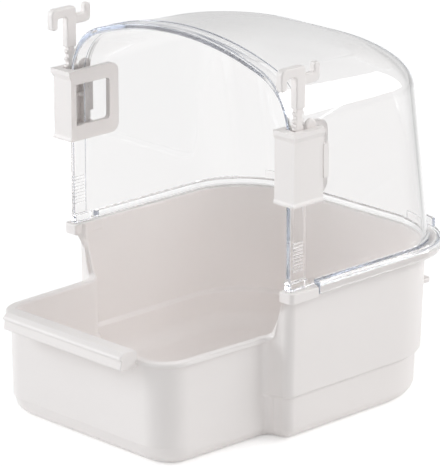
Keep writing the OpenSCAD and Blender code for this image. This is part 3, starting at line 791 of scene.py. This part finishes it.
def tray_block(tray):
    """The right-hand rim block that a leg of the hood stands on."""
    edge = 0.0005
    _, step, _ = tray_places(tray)
    y0 = step - tray.block_front
    y1 = y0 + tray.block_l
    x1 = TRAY_HIGH.x
    x0 = x1 - tray.block_w
    low, top = tray.rear_h - tray.block_h, tray.rear_h - BLOCK_LOW
    corners = [(x0, y0, 0.0012), (x1, y0, 0.002), (x1, y1, 0.0006), (x0, y1, 0.0006)]
    return rounded_prism("right_rim_block", corners, low, top, edge, along_z)


def tray_shelf(tray):
    """The shelf across the back wall."""
    edge = 0.0006
    y1 = TRAY_HIGH.y
    y0 = y1 - tray.shelf_out - tray.wall
    half = tray.shelf_w / 2
    corners = [(-half, y0, 0), (half, y0, 0), (half, y1, 0.0025), (-half, y1, 0.0025)]
    return rounded_prism("tray_shelf", corners, tray.shelf_z - tray.shelf_t, tray.shelf_z, edge, along_z)


# Hood

# How far the band's front face lies behind the feet's
BAND_BACK = 0.0001
# How far behind the feet's front face the roof's slope starts
SLOPE_START = 0.001
# Outside, how far behind its rear edge the band starts to rise from the sheet, and over what length
RISE_BEHIND = 0.0003
RISE_L = 0.0014
# Inside, how far in front of that edge the band starts to thin down to the sheet, and over what length
THIN_BEFORE = 0.0006
THIN_L = 0.0009
# Places of the columns along the band's inside
INNER_COLUMNS = (0.0016, 0.0032, 0.005, 0.0068)
# Width of the flanks of the band's ribs
RIB_FLANK = 0.0005
# How far behind the band the sheet's columns start
SHEET_START = 0.0004
# Largest reach of the back corners' rounding across the roof, as a share of its half width
CORNER_REACH = 0.8
# How far the feet stand above the tray's rim
FOOT_GAP = 0.00015


def hood_arch(hood):
    """Rows of the right half of the hood, from a leg's foot to the crown: half width and height at the
    front, tilt of the surface in radians, and how near the row is to the foot."""
    w = hood.half_w - hood.band_proud
    r = hood.shoulder_r - hood.band_proud
    rise = hood.arch_h - hood.band_proud
    big = (w * w - 2 * w * r + rise * rise) / (2 * (rise - r))
    turn = acos((w - r) / (big - r))
    rows = [(w, hood.leg_h * f, 0.0, 1 - f) for f in np.linspace(0, 1, 14)]
    for a in np.linspace(0, turn, 21)[1:]:
        rows.append((w - r + r * cos(a), hood.leg_h + r * sin(a), a, 0.0))
    for a in np.linspace(turn, pi / 2, 19)[1:]:
        rows.append((big * cos(a), hood.leg_h + rise - big + big * sin(a), a, 0.0))
    return np.array(rows)


def hood_columns(hood):
    """Columns of the hood's closed sheet, from the middle of the back along the outside to the front edge,
    round it and back along the inside: kind, place, depth below the outside, share of the roof's slope."""
    proud, edge = hood.band_proud, hood.band_edge
    rear, rib, up = hood.band_w, hood.rib_w, hood.rib_up
    inner = hood.band_t - proud
    quarter = np.radians(np.linspace(0, 90, 5))
    outside = [("back", f, 0.0, 1.0) for f in np.linspace(1, 0, 9)]
    outside += [("corner", a, 0.0, 1.0) for a in np.linspace(pi / 2, 0, 19)[1:]]
    outside += [("side", f, 0.0, 1.0) for f in np.linspace(1, 0, 15)[1:]]
    for f in np.linspace(0, 1, 8):
        outside.append(("band", rear + RISE_BEHIND - RISE_L * f, -proud * smooth(f), 1 - smooth(f)))
    for f in np.linspace(0, 1, 5):
        outside.append(("band", rear - rib - RIB_FLANK * f, up * smooth(f) - proud, 0.0))
    for f in (0.3, 0.6):
        y = rib + RIB_FLANK + (rear - 2 * rib - 2 * RIB_FLANK) * (1 - f)
        outside.append(("band", y, up - proud, 0.0))
    for f in np.linspace(0, 1, 5):
        outside.append(("band", rib + RIB_FLANK * (1 - f), up * (1 - smooth(f)) - proud, 0.0))
    for a in quarter:
        outside.append(("band", edge * (1 - sin(a)), -proud + edge * (1 - cos(a)), 0.0))
    face = [("band", 0.0, -proud + edge + (inner + proud - 2 * edge) * f, 0.0) for f in (0.33, 0.67)]
    inside = [("band", edge * (1 - sin(a)), inner - edge * (1 - cos(a)), 0.0) for a in quarter[::-1]]
    inside += [("band", y, inner, 1.0) for y in (*INNER_COLUMNS, rear - THIN_BEFORE)]
    for f in np.linspace(0, 1, 5):
        depth = inner + (hood.wall - inner) * smooth(f)
        inside.append(("band", rear - THIN_BEFORE + THIN_L * f, depth, 1.0))
    inside += [("side", f, hood.wall, 1.0) for f in np.linspace(0, 1, 15)[1:]]
    inside += [("corner", a, hood.wall, 1.0) for a in np.linspace(0, pi / 2, 19)[1:]]
    inside += [("back", f, hood.wall, 1.0) for f in np.linspace(0, 1, 9)[1:]]
    return outside, face, inside


def hood_grid(hood, columns):
    """Points of the right half of the hood, one column after another, each from the foot to the crown."""
    half, height, tilt, foot = hood_arch(hood).T
    leg_y = HOOD_LOW.y
    start = leg_y + SLOPE_START
    tall = hood.leg_h + hood.arch_h
    wall_tilt = atan(hood.back_lean / (tall - hood.roof_drop))
    zc = tall - hood.roof_drop - hood.roof_r
    yc = hood.back_y - zc * tan(wall_tilt) - hood.roof_r / cos(wall_tilt)
    across, down = yc - start, tall - hood.band_proud - zc
    roof_tilt = acos(-hood.roof_r / hypot(across, down)) - atan(down / across)
    lean = wall_tilt + (roof_tilt - wall_tilt) * tilt / (pi / 2)
    grid = []
    for kind, place, depth, slope in columns:
        r = hood.roof_r - depth
        x_side = half - depth * np.cos(tilt)
        h = height - depth * np.sin(tilt)
        y_back = yc + r * np.cos(lean)
        z_back = zc + r * np.sin(lean)
        y_back = y_back * (1 - foot) + (hood.back_y - depth / cos(wall_tilt)) * foot
        z_back = z_back * (1 - foot)
        ry = hood.corner_r - depth
        rx = np.minimum(ry, CORNER_REACH * x_side)
        if kind == "band":
            x = x_side
            y = np.full_like(x_side, leg_y + BAND_BACK + place)
        elif kind == "side":
            x = x_side
            first = leg_y + hood.band_w + SHEET_START
            y = first + (y_back - ry - first) * place
        elif kind == "corner":
            x = x_side - rx + rx * cos(place)
            y = y_back - ry + ry * sin(place)
        else:
            x = (x_side - rx) * (1 - place)
            y = y_back
        z = HOOD_Z + h + slope * (z_back - h) * (y - start) / (y_back - start)
        grid.append(np.stack([x, y, z], axis=1))
    return np.array(grid)


def hood_shell(hood):
    """The clear sheet with its front band, as one closed skin of two mirrored halves. The inside gets as
    many columns as the outside, because the foot is filled in strips between them."""
    outside, face, inside = hood_columns(hood)
    while len(inside) < len(outside):
        at = inside.index(next(c for c in inside if c[0] == "side"))
        kind, place, depth, slope = inside[at]
        inside.insert(at, (kind, place / 2, depth, slope))
    grid = hood_grid(hood, outside + face + inside)
    count, rows = grid.shape[:2]
    right = grid.reshape(-1, 3)
    left = right * [-1, 1, 1]
    faces = []
    for offset in (0, len(right)):
        faces += [tuple(offset + k for k in f) for f in grid_faces(count, rows, False)]
        for i in range(count // 2 - 1):
            j = count - 1 - i
            faces.append(tuple(offset + k * rows for k in (i, i + 1, j - 1, j)))
    return closed_piece("hood_shell", np.concatenate([right, left]), faces)


def u_path(half_w, y_start, y_back, r):
    """A U in plan from its right front end round the back, as points for the right half."""
    points = [(half_w, y_start + (y_back - r - y_start) * f) for f in np.linspace(0, 1, 12)]
    points += [(half_w - r + r * cos(a), y_back - r + r * sin(a)) for a in np.linspace(0, pi / 2, 25)[1:]]
    points += [((half_w - r) * (1 - f), y_back) for f in np.linspace(0, 1, 8)[1:]]
    return np.array(points)


def hood_rim(hood):
    """The flange and skirt round the foot of the hood, swept along the rim. Each point of the section has
    the edge that it follows, how far inside that edge it lies, and its height."""
    y_start = HOOD_LOW.y + hood.skirt_start
    top, low = hood.flange_t, hood.flange_t - hood.skirt_h
    skirt = hood.skirt_t
    # Rounding of the skirt's edges, fillet up to the sheet with its bend, slope and lift of the underside
    edge, fillet, bend_out, bend_up, slope, lift = 0.0006, 0.0012, 0.0002, 0.0003, 0.0005, 0.00005
    cut = 0.3 * edge
    section = [
        ("skirt", edge, low), ("skirt", cut, low + cut), ("skirt", 0, low + edge),
        ("skirt", 0, (low + top) / 2),
        ("skirt", 0, top - edge), ("skirt", cut, top - cut), ("skirt", edge, top),
        ("wall", -fillet, top), ("wall", -bend_out, top + bend_up), ("wall", bend_up, top + fillet),
        ("wall", fillet, top + fillet), ("wall", fillet, lift),
        ("skirt", skirt + slope, lift), ("skirt", skirt, -slope), ("skirt", skirt, low + edge),
        ("skirt", skirt - cut, low + cut), ("skirt", skirt - edge, low),
    ]
    half_w = hood.half_w - hood.band_proud
    rings = []
    for base, inset, z in section:
        if base == "skirt":
            path = u_path(HOOD_HIGH.x - inset, y_start, HOOD_HIGH.y - inset, hood.skirt_r - inset)
        else:
            path = u_path(half_w - inset, y_start, hood.back_y - inset, hood.corner_r - inset)
        path = np.concatenate([path, path[-2::-1] * [-1, 1]])
        rings.append(np.column_stack([path, np.full(len(path), HOOD_Z + z)]))
    along = np.array(rings).transpose(1, 0, 2)
    return closed_piece("hood_rim", along.reshape(-1, 3), tube_faces(*along.shape[:2]))


def hood_foot(hood):
    """The right-hand foot, on the rim block."""
    edge = 0.00043
    y0 = HOOD_LOW.y
    y1 = y0 + hood.band_w + hood.foot_out
    x0, x1 = hood.half_w - hood.band_t - hood.foot_out, hood.half_w + hood.foot_out
    z0 = TRAY_HIGH.z + FOOT_GAP
    corners = [(x0, y0, 0.0006), (x1, y0, 0.0008), (x1, y1, 0.0006), (x0, y1, 0.0006)]
    return rounded_prism("right_foot", corners, z0, z0 + hood.foot_h, edge, along_z)


def hood_tab(hood):
    """The right-hand finger tab, which stands on the back rim's edge and follows its curve."""
    set_in, root, edge = 0.0001, 0.0009, 0.0005
    r = hood.skirt_r
    x_turn, y_turn = HOOD_HIGH.x - r, HOOD_HIGH.y - r
    inside, outside = hood.skirt_t - set_in, set_in
    z0 = HOOD_Z + hood.flange_t - root
    z1 = HOOD_Z + hood.flange_t + hood.tab_h

    def on_rim(x, depth, z):
        turn = asin(max(x - x_turn, 0.0) / r)
        return min(x, x_turn) + (r - depth) * sin(turn), y_turn + (r - depth) * cos(turn), z

    corners = [(outside, z0, 0), (inside, z0, 0), (inside, z1, 0.0006), (outside, z1, 0.0006)]
    low, high = hood.tab_x - hood.tab_w / 2, hood.tab_x + hood.tab_w / 2
    return rounded_prism("right_tab", corners, low, high, edge, on_rim, parts=16)


def leg_ridge(hood):
    """The lowest grip ridge on the right leg: a thin bar with round ends, half sunk in the leg."""
    beside_rib, edge = 0.0004, 0.00012
    r = hood.ridge_r
    y0 = HOOD_LOW.y + hood.rib_w + beside_rib
    y1 = y0 + hood.ridge_l
    z0 = HOOD_Z + hood.foot_h + hood.ridge_up
    corners = [(y, z, 0.9 * r) for y, z in ((y0, z0 - r), (y1, z0 - r), (y1, z0 + r), (y0, z0 + r))]
    low, high = hood.half_w - r, hood.half_w + hood.ridge_proud
    return rounded_prism("right_grip_ridges", corners, low, high, edge, steps=2)


# Clips, hooks and tongues

# How far a piece of a hook reaches into the one that it grows out of
ROOT = 0.0015
# Radius of the hooks' and tongues' fine corners
FINE_R = 0.0004
# Corner radius that makes a square bar look round, as a share of half its width
ROUND = 0.98
# Heights of a tooth's foot, of both ends of its crest and of its head, as shares of the teeth's pitch
TOOTH_HEIGHTS = (0.02, 0.3, 0.58, 0.7)


def clip_sleeve(node, edge, frame_edge):
    """A clip with all its edges rounded, the outer upright ones most."""
    # Points this close and faces this level become one, and edges that turn less than this stay unrounded
    close, level_faces, least_turn = 1e-6, radians(1), radians(20)
    # An edge this near to the clip's outside is an outer one
    near = 0.0015
    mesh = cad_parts[node].data.copy()
    mesh.name = node + "_sleeve"
    shape = edited(mesh)
    bmesh.ops.remove_doubles(shape, verts=shape.verts, dist=close)
    bmesh.ops.dissolve_limit(shape, angle_limit=level_faces, verts=shape.verts, edges=shape.edges)
    weight = shape.edges.layers.float.new("bevel_weight_edge")
    outer = max(abs(v.co.x) for v in shape.verts) - near
    front = min(v.co.y for v in shape.verts) + near
    for line in shape.edges:
        a, b = (v.co for v in line.verts)
        if line.calc_face_angle(0.0) < least_turn:
            continue
        upright = abs(a.z - b.z) > 0.9 * line.calc_length()
        outside = min(abs(a.x), abs(b.x)) > outer or max(a.y, b.y) < front
        line[weight] = 1.0 if upright and outside else frame_edge
    write_smooth(shape, mesh)
    piece = new_object(mesh.name, mesh)
    modifier = piece.modifiers.new("Rounded edges", "BEVEL")
    modifier.width = edge
    modifier.segments = 4
    modifier.limit_method = "WEIGHT"
    even_shading(piece)
    return piece


def hook_places(clips):
    """Where the right hook's stem starts and ends along the bath, where its teeth end, and its top."""
    stem = HOOK_LOW.y + clips.arm_w + clips.wire_gap
    return stem, stem + clips.stem_w, HOOK_LOW.z + clips.teeth_l, HOOK_HIGH.z - clips.rear_up


def hook_head(clips):
    """The right hook's shank, bar and front arm."""
    stem, back, low, top = hook_places(clips)
    front = HOOK_LOW.y
    arm = front + clips.arm_w
    arm_end, bar = top - clips.arm_down, top - clips.bar_h
    corners = [
        (stem, low, 0.0009), (back, low, 0.0009), (back, top, 0.0016), (front, top, 0.0026),
        (front, arm_end, 0.0012), (arm, arm_end, 0.0012), (arm, bar, 0.0012), (stem, bar, 0.0012),
    ]
    low_x, high_x = HOOK_LOW.x - clips.head_in, HOOK_HIGH.x + clips.head_out
    return rounded_prism("right_hook_head", corners, low_x, high_x, clips.hook_edge)


def hook_rear_arm(clips):
    """The right hook's rear arm with its up-turned end, thinner than the bar that it starts in."""
    _, back, _, top = hook_places(clips)
    root, rear = back - ROOT, HOOK_HIGH.y
    arm = rear - clips.arm_w
    arm_top = top - clips.rear_low
    arm_low = arm_top - clips.bar_h
    end = top + clips.rear_up
    corners = [
        (root, arm_low, 0), (rear, arm_low, 0.0024), (rear, end, 0.0014),
        (arm, end, 0.0014), (arm, arm_top, 0.0009), (root, arm_top, 0),
    ]
    low_x = HOOK_LOW.x - clips.head_in + clips.rear_thin
    high_x = HOOK_HIGH.x + clips.head_out - clips.rear_thin
    return rounded_prism("right_hook_rear_arm", corners, low_x, high_x, 0.9 * clips.hook_edge)


def stem_span(clips, inset=0.0):
    """The right hook's stem between its two flat faces, drawn in by inset."""
    middle = (HOOK_LOW.x + HOOK_HIGH.x) / 2
    half = clips.stem_t / 2 - inset
    return middle - half, middle + half


def hook_stem(clips):
    """The flat core of the right hook's toothed stem."""
    edge = 0.0003
    stem, back, low, _ = hook_places(clips)
    y0, y1 = stem + clips.tooth_d, back - clips.tooth_d
    z0, z1 = HOOK_LOW.z, low + ROOT
    corners = [(y0, z0, FINE_R), (y1, z0, FINE_R), (y1, z1, 0), (y0, z1, 0)]
    return rounded_prism("right_hook_stem", corners, *stem_span(clips), edge)


def hook_tooth(clips):
    """The lowest tooth of the right hook's stem, which stands out on both sides."""
    inset, edge = 0.00015, 0.00038
    y0, y1, _, _ = hook_places(clips)
    in0, in1 = y0 + clips.tooth_d, y1 - clips.tooth_d
    foot, low, high, head = (HOOK_LOW.z + part * clips.tooth_pitch for part in TOOTH_HEIGHTS)
    corners = [
        (in0, foot, 0), (in1, foot, 0), (y1, low, FINE_R), (y1, high, FINE_R),
        (in1, head, 0), (in0, head, 0), (y0, high, FINE_R), (y0, low, FINE_R),
    ]
    return rounded_prism("right_hook_teeth", corners, *stem_span(clips, inset), edge)


def tongue_strip(clips):
    """The right locking tongue's strip on its round knuckle, with a ridge behind and a tooth in front."""
    edge, waist_r = 0.00028, 0.0003
    r, nub = clips.knuckle_r, clips.nub_r
    y = TONGUE_HIGH.y - nub
    z = TONGUE_LOW.z + r
    front, rear = y - clips.tongue_t / 2, y + clips.tongue_t / 2
    waist, neck = z + 0.2 * r, z + 0.7 * r
    low = z + clips.ridge_low
    high = low + clips.ridge_h
    ridge = rear + clips.ridge_out
    tooth = TONGUE_LOW.y
    tooth_low = low + clips.tooth_low
    tooth_high = tooth_low + clips.tooth_h
    top = TONGUE_HIGH.z - nub
    corners = [
        (y - r, z - r, ROUND * r), (y + r, z - r, ROUND * r), (y + r, waist, waist_r), (rear, neck, waist_r),
        (rear, low, FINE_R), (ridge, low, FINE_R), (ridge, high, FINE_R), (rear, high, FINE_R),
        (rear, top, 0), (front, top, 0), (front, tooth_high, FINE_R), (tooth, tooth_high, FINE_R),
        (tooth, tooth_low, FINE_R), (front, tooth_low, FINE_R),
        (front, neck, waist_r), (y - r, waist, waist_r),
    ]
    return rounded_prism("right_tongue_strip", corners, TONGUE_LOW.x, TONGUE_HIGH.x, edge)


def tongue_nub(clips):
    """The round thumb nub on top of the right tongue, inset so that no two faces share a plane."""
    inset = 0.00008
    r = clips.nub_r
    y, z = TONGUE_HIGH.y - r, TONGUE_HIGH.z - r
    corners = [(y + a * r, z + b * r, ROUND * r) for a, b in ((-1, -1), (1, -1), (1, 1), (-1, 1))]
    low_x, high_x = TONGUE_LOW.x + inset, TONGUE_HIGH.x - inset
    return rounded_prism("right_tongue_nub", corners, low_x, high_x, clips.nub_edge)


# Stage

# Half the floor's width, and how far the floor lies below the bath
FLOOR_HALF = 4.0
FLOOR_LOW = 0.0002
# Height above the floor's middle that the lamps point at
LAMP_AIM = 0.06
# Softboxes: side, place from there (to the right, away from the camera, up), width and height, tint
SOFTBOXES = (
    ("left", (-1.1, 0.1, 0.45), (0.9, 0.8), (0.955, 0.98, 1.0)),
    ("right", (1.1, 0.1, 0.6), (0.95, 0.75), (1.0, 1.0, 1.0)),
    ("top", (0.0, 0.1, 1.2), (1.2, 1.2), (1.0, 1.0, 1.0)),
    ("front", (0.0, -1.2, 0.8), (1.0, 0.8), (1.0, 1.0, 1.0)),
)
# Bounces of light, many because a look through the hood meets many clear walls
BOUNCES = {"max_bounces": 128, "transmission_bounces": 128, "glossy_bounces": 128, "diffuse_bounces": 8}


def floor_material(stage):
    """A pale floor that looks white to the camera and keeps the shadow. Seen through the clear plastic it is
    white behind the bath and painted grey beside it, on both sides of the camera's middle line: painted
    shade that draws the plastic's edges."""
    material = bpy.data.materials.new("Pale floor")
    material.use_nodes = True
    tree = material.node_tree
    tree.nodes.remove(tree.nodes["Principled BSDF"])
    paint = add_node(tree, "ShaderNodeBsdfDiffuse", {"Color": (stage.floor_white,) * 3 + (1.0,)})
    ray = add_node(tree, "ShaderNodeLightPath")
    where = add_node(tree, "ShaderNodeTexCoord")
    reach = add_node(tree, "ShaderNodeVectorMath", operation="LENGTH")
    far = add_node(tree, "ShaderNodeMapRange", {
        "From Min": stage.far_start,
        "From Max": stage.far_end,
        "To Min": stage.floor_lift,
        "To Max": stage.floor_far,
    }, interpolation_type="SMOOTHSTEP")
    lift = add_node(tree, "ShaderNodeEmission")
    plain = add_node(tree, "ShaderNodeAddShader")
    # Painted shade: seen through the clear plastic, the floor turns grey with distance from the camera's
    # middle line, to darken the plastic's edges
    sideways = (cos(stage.beside_turn), sin(stage.beside_turn), 0.0)
    across = add_node(tree, "ShaderNodeVectorMath", {1: sideways}, operation="DOT_PRODUCT")
    off_line = add_node(tree, "ShaderNodeMath", operation="ABSOLUTE")
    fade = add_node(tree, "ShaderNodeMapRange", {
        "From Min": stage.beside,
        "From Max": 2 * stage.beside,
        "To Min": stage.floor_through,
        "To Max": stage.painted_shade_beside,
    }, interpolation_type="SMOOTHSTEP")
    behind = add_node(tree, "ShaderNodeEmission")
    straight = add_node(tree, "ShaderNodeMath", {1: 0.5}, operation="LESS_THAN")
    seen = add_node(tree, "ShaderNodeMath", operation="MULTIPLY")
    choice = add_node(tree, "ShaderNodeMixShader")
    rays = (("Is Glossy Ray", stage.floor_gloss), ("Is Camera Ray", far.outputs["Result"]))
    tree.links.new(by_ray(tree, ray, 0.0, rays), lift.inputs["Strength"])
    link_nodes(tree, [
        (where, "Object", reach, 0),
        (reach, "Value", far, "Value"),
        (paint, "BSDF", plain, 0),
        (lift, "Emission", plain, 1),
        (where, "Object", across, 0),
        (across, "Value", off_line, 0),
        (off_line, "Value", fade, "Value"),
        (fade, "Result", behind, "Strength"),
        (ray, "Diffuse Depth", straight, 0),
        (straight, "Value", seen, 0),
        (ray, "Is Transmission Ray", seen, 1),
        (seen, "Value", choice, "Fac"),
        (plain, "Shader", choice, 1),
        (behind, "Emission", choice, 2),
        (choice, "Shader", tree.nodes["Material Output"], "Surface"),
    ])
    return material


def stage_floor(stage):
    """The floor that the bath stands on."""
    corners = [(x * FLOOR_HALF, y * FLOOR_HALF, 0) for x, y in ((-1, -1), (1, -1), (1, 1), (-1, 1))]
    mesh = bpy.data.meshes.new("floor")
    mesh.from_pydata(corners, [], [(0, 1, 2, 3)])
    mesh.materials.append(floor_material(stage))
    floor = new_object("floor", mesh)
    floor.location.z = -FLOOR_LOW


def studio_world(stage):
    """Even studio light; the camera and looks through the hood meet white, and gloss meets pale grey."""
    world = bpy.data.worlds.new("Studio")
    world.use_nodes = True
    tree = world.node_tree
    back = tree.nodes["Background"]
    back.inputs["Color"].default_value = (1.0, 1.0, 1.0, 1.0)
    ray = add_node(tree, "ShaderNodeLightPath")
    rays = (("Is Glossy Ray", stage.gloss), ("Is Transmission Ray", stage.through), ("Is Camera Ray", 1.0))
    tree.links.new(by_ray(tree, ray, stage.ambient, rays), back.inputs["Strength"])
    bpy.context.scene.world = world


def softbox(name, place, target, area, power, tint):
    """A large soft lamp at a place, turned to a target."""
    lamp = bpy.data.lights.new(name, "AREA")
    lamp.color = tint
    lamp.shape = "RECTANGLE"
    lamp.size, lamp.size_y = area
    lamp.energy = power
    piece = new_object(name, lamp)
    piece.location = place
    piece.rotation_euler = (target - place).to_track_quat("-Z", "Y").to_euler()


def stage_lamps(stage):
    """The softboxes, placed as the camera sees the bath."""
    az = stage.azimuth
    right = Vector((cos(az), sin(az), 0))
    away = Vector((-sin(az), cos(az), 0))
    up = Vector((0, 0, 1))
    aim = up * LAMP_AIM
    for side, (x, y, z), area, tint in SOFTBOXES:
        place = aim + right * x + away * y + up * z
        softbox(side + "_softbox", place, aim, area, getattr(stage, side + "_power"), tint)


def stage_camera(stage):
    """The camera, placed as in the photograph."""
    az, el = stage.azimuth, stage.elevation
    right = Vector((cos(az), sin(az), 0))
    back = Vector((sin(az) * cos(el), -cos(az) * cos(el), sin(el)))
    target = right * stage.target_right + Vector((0, -stage.target_front, stage.target_z))
    camera = bpy.data.cameras.new("camera")
    camera.sensor_fit = "HORIZONTAL"
    camera.sensor_width = 36.0
    camera.lens = stage.lens
    camera.clip_end = 20.0
    eye = new_object("camera", camera)
    eye.location = target + back * stage.distance
    eye.rotation_euler = (-back).to_track_quat("-Z", "Y").to_euler()
    bpy.context.scene.camera = eye


# Operators

class BIRD_BATH_OT_tray(bpy.types.Operator):
    """Build the white tray with its lip, rim blocks and shelf"""
    bl_idname = "bird_bath.tray"
    bl_label = "Tray"

    def execute(self, context):
        tray = context.scene.bird_bath.tray
        white = white_plastic()
        settle(tray_tub(tray), "tray", white, "tray")
        block = tray_block(tray)
        for piece in (tray_lip(tray), tray_shelf(tray), block, mirrored_piece(block)):
            settle(piece, "tray", white)
        return {"FINISHED"}


class BIRD_BATH_OT_hood(bpy.types.Operator):
    """Build the clear hood with its legs, feet, skirt, tabs and grip ridges"""
    bl_idname = "bird_bath.hood"
    bl_label = "Hood"

    def execute(self, context):
        hood = context.scene.bird_bath.hood
        clear = clear_plastic()
        ridges = leg_ridge(hood)
        repeat(ridges, hood.ridges, (0.0, 0.0, hood.ridge_pitch), clear)
        details = [hood_rim(hood)]
        for piece in (hood_foot(hood), hood_tab(hood), ridges):
            details += [piece, mirrored_piece(piece)]
        settle(joined(hood_shell(hood), details), "hood", clear, "hood")
        return {"FINISHED"}


class BIRD_BATH_OT_clips(bpy.types.Operator):
    """Build the two clips that slide on the hood's legs"""
    bl_idname = "bird_bath.clips"
    bl_label = "Clips"

    def execute(self, context):
        clips = context.scene.bird_bath.clips
        for node in ("left_clip", "right_clip"):
            sleeve = clip_sleeve(node, clips.clip_edge, clips.frame_edge)
            settle(sleeve, node, white_plastic(), node)
        return {"FINISHED"}


class BIRD_BATH_OT_hooks(bpy.types.Operator):
    """Build the two toothed hooks"""
    bl_idname = "bird_bath.hooks"
    bl_label = "Hooks"

    def execute(self, context):
        clips = context.scene.bird_bath.clips
        teeth = hook_tooth(clips)
        count = round(clips.teeth_l / clips.tooth_pitch)
        repeat(teeth, count, (0.0, 0.0, clips.tooth_pitch), white_plastic())
        settle_pair([hook_head(clips), hook_rear_arm(clips), hook_stem(clips), teeth], "hook")
        return {"FINISHED"}


class BIRD_BATH_OT_tongues(bpy.types.Operator):
    """Build the two locking tongues"""
    bl_idname = "bird_bath.tongues"
    bl_label = "Tongues"

    def execute(self, context):
        clips = context.scene.bird_bath.clips
        settle_pair([tongue_strip(clips), tongue_nub(clips)], "tongue")
        return {"FINISHED"}


class BIRD_BATH_OT_stage(bpy.types.Operator):
    """Build the floor, the lamps, the world and the camera"""
    bl_idname = "bird_bath.stage"
    bl_label = "Stage"

    def execute(self, context):
        stage = context.scene.bird_bath.stage
        stage_floor(stage)
        studio_world(stage)
        stage_lamps(stage)
        stage_camera(stage)
        context.scene.view_settings.view_transform = "Standard"
        for kind, count in BOUNCES.items():
            setattr(context.scene.cycles, kind, count)
        return {"FINISHED"}


OPERATORS = (BIRD_BATH_OT_tray, BIRD_BATH_OT_hood, BIRD_BATH_OT_clips, BIRD_BATH_OT_hooks,
             BIRD_BATH_OT_tongues, BIRD_BATH_OT_stage)


class VIEW3D_PT_bird_bath(bpy.types.Panel):
    """Sidebar panel with the bath's settings and operators"""
    bl_label = "Bird bath"
    bl_idname = "VIEW3D_PT_bird_bath"
    bl_space_type = "VIEW_3D"
    bl_region_type = "UI"
    bl_category = "Bird bath"

    def draw(self, context):
        bath = context.scene.bird_bath
        for operator in OPERATORS:
            self.layout.operator(operator.bl_idname)
        for group in (bath.tray, bath.hood, bath.clips, bath.finish, bath.stage):
            box = self.layout.box()
            for name in group.bl_rna.properties.keys():
                if name not in ("rna_type", "name"):
                    box.prop(group, name)


CLASSES = (TraySettings, HoodSettings, ClipSettings, FinishSettings, StageSettings, BathSettings, *OPERATORS,
           VIEW3D_PT_bird_bath)


def register():
    """Registers the classes and gives scenes the bath's settings."""
    for cls in CLASSES:
        bpy.utils.register_class(cls)
    bpy.types.Scene.bird_bath = PointerProperty(type=BathSettings)


def unregister():
    """Takes back what register did."""
    del bpy.types.Scene.bird_bath
    for cls in reversed(CLASSES):
        bpy.utils.unregister_class(cls)


def main():
    """Builds the stage and all pieces."""
    register()
    bpy.ops.bird_bath.stage()
    bpy.ops.bird_bath.tray()
    bpy.ops.bird_bath.hood()
    bpy.ops.bird_bath.clips()
    bpy.ops.bird_bath.hooks()
    bpy.ops.bird_bath.tongues()


if __name__ == "__main__":
    main()
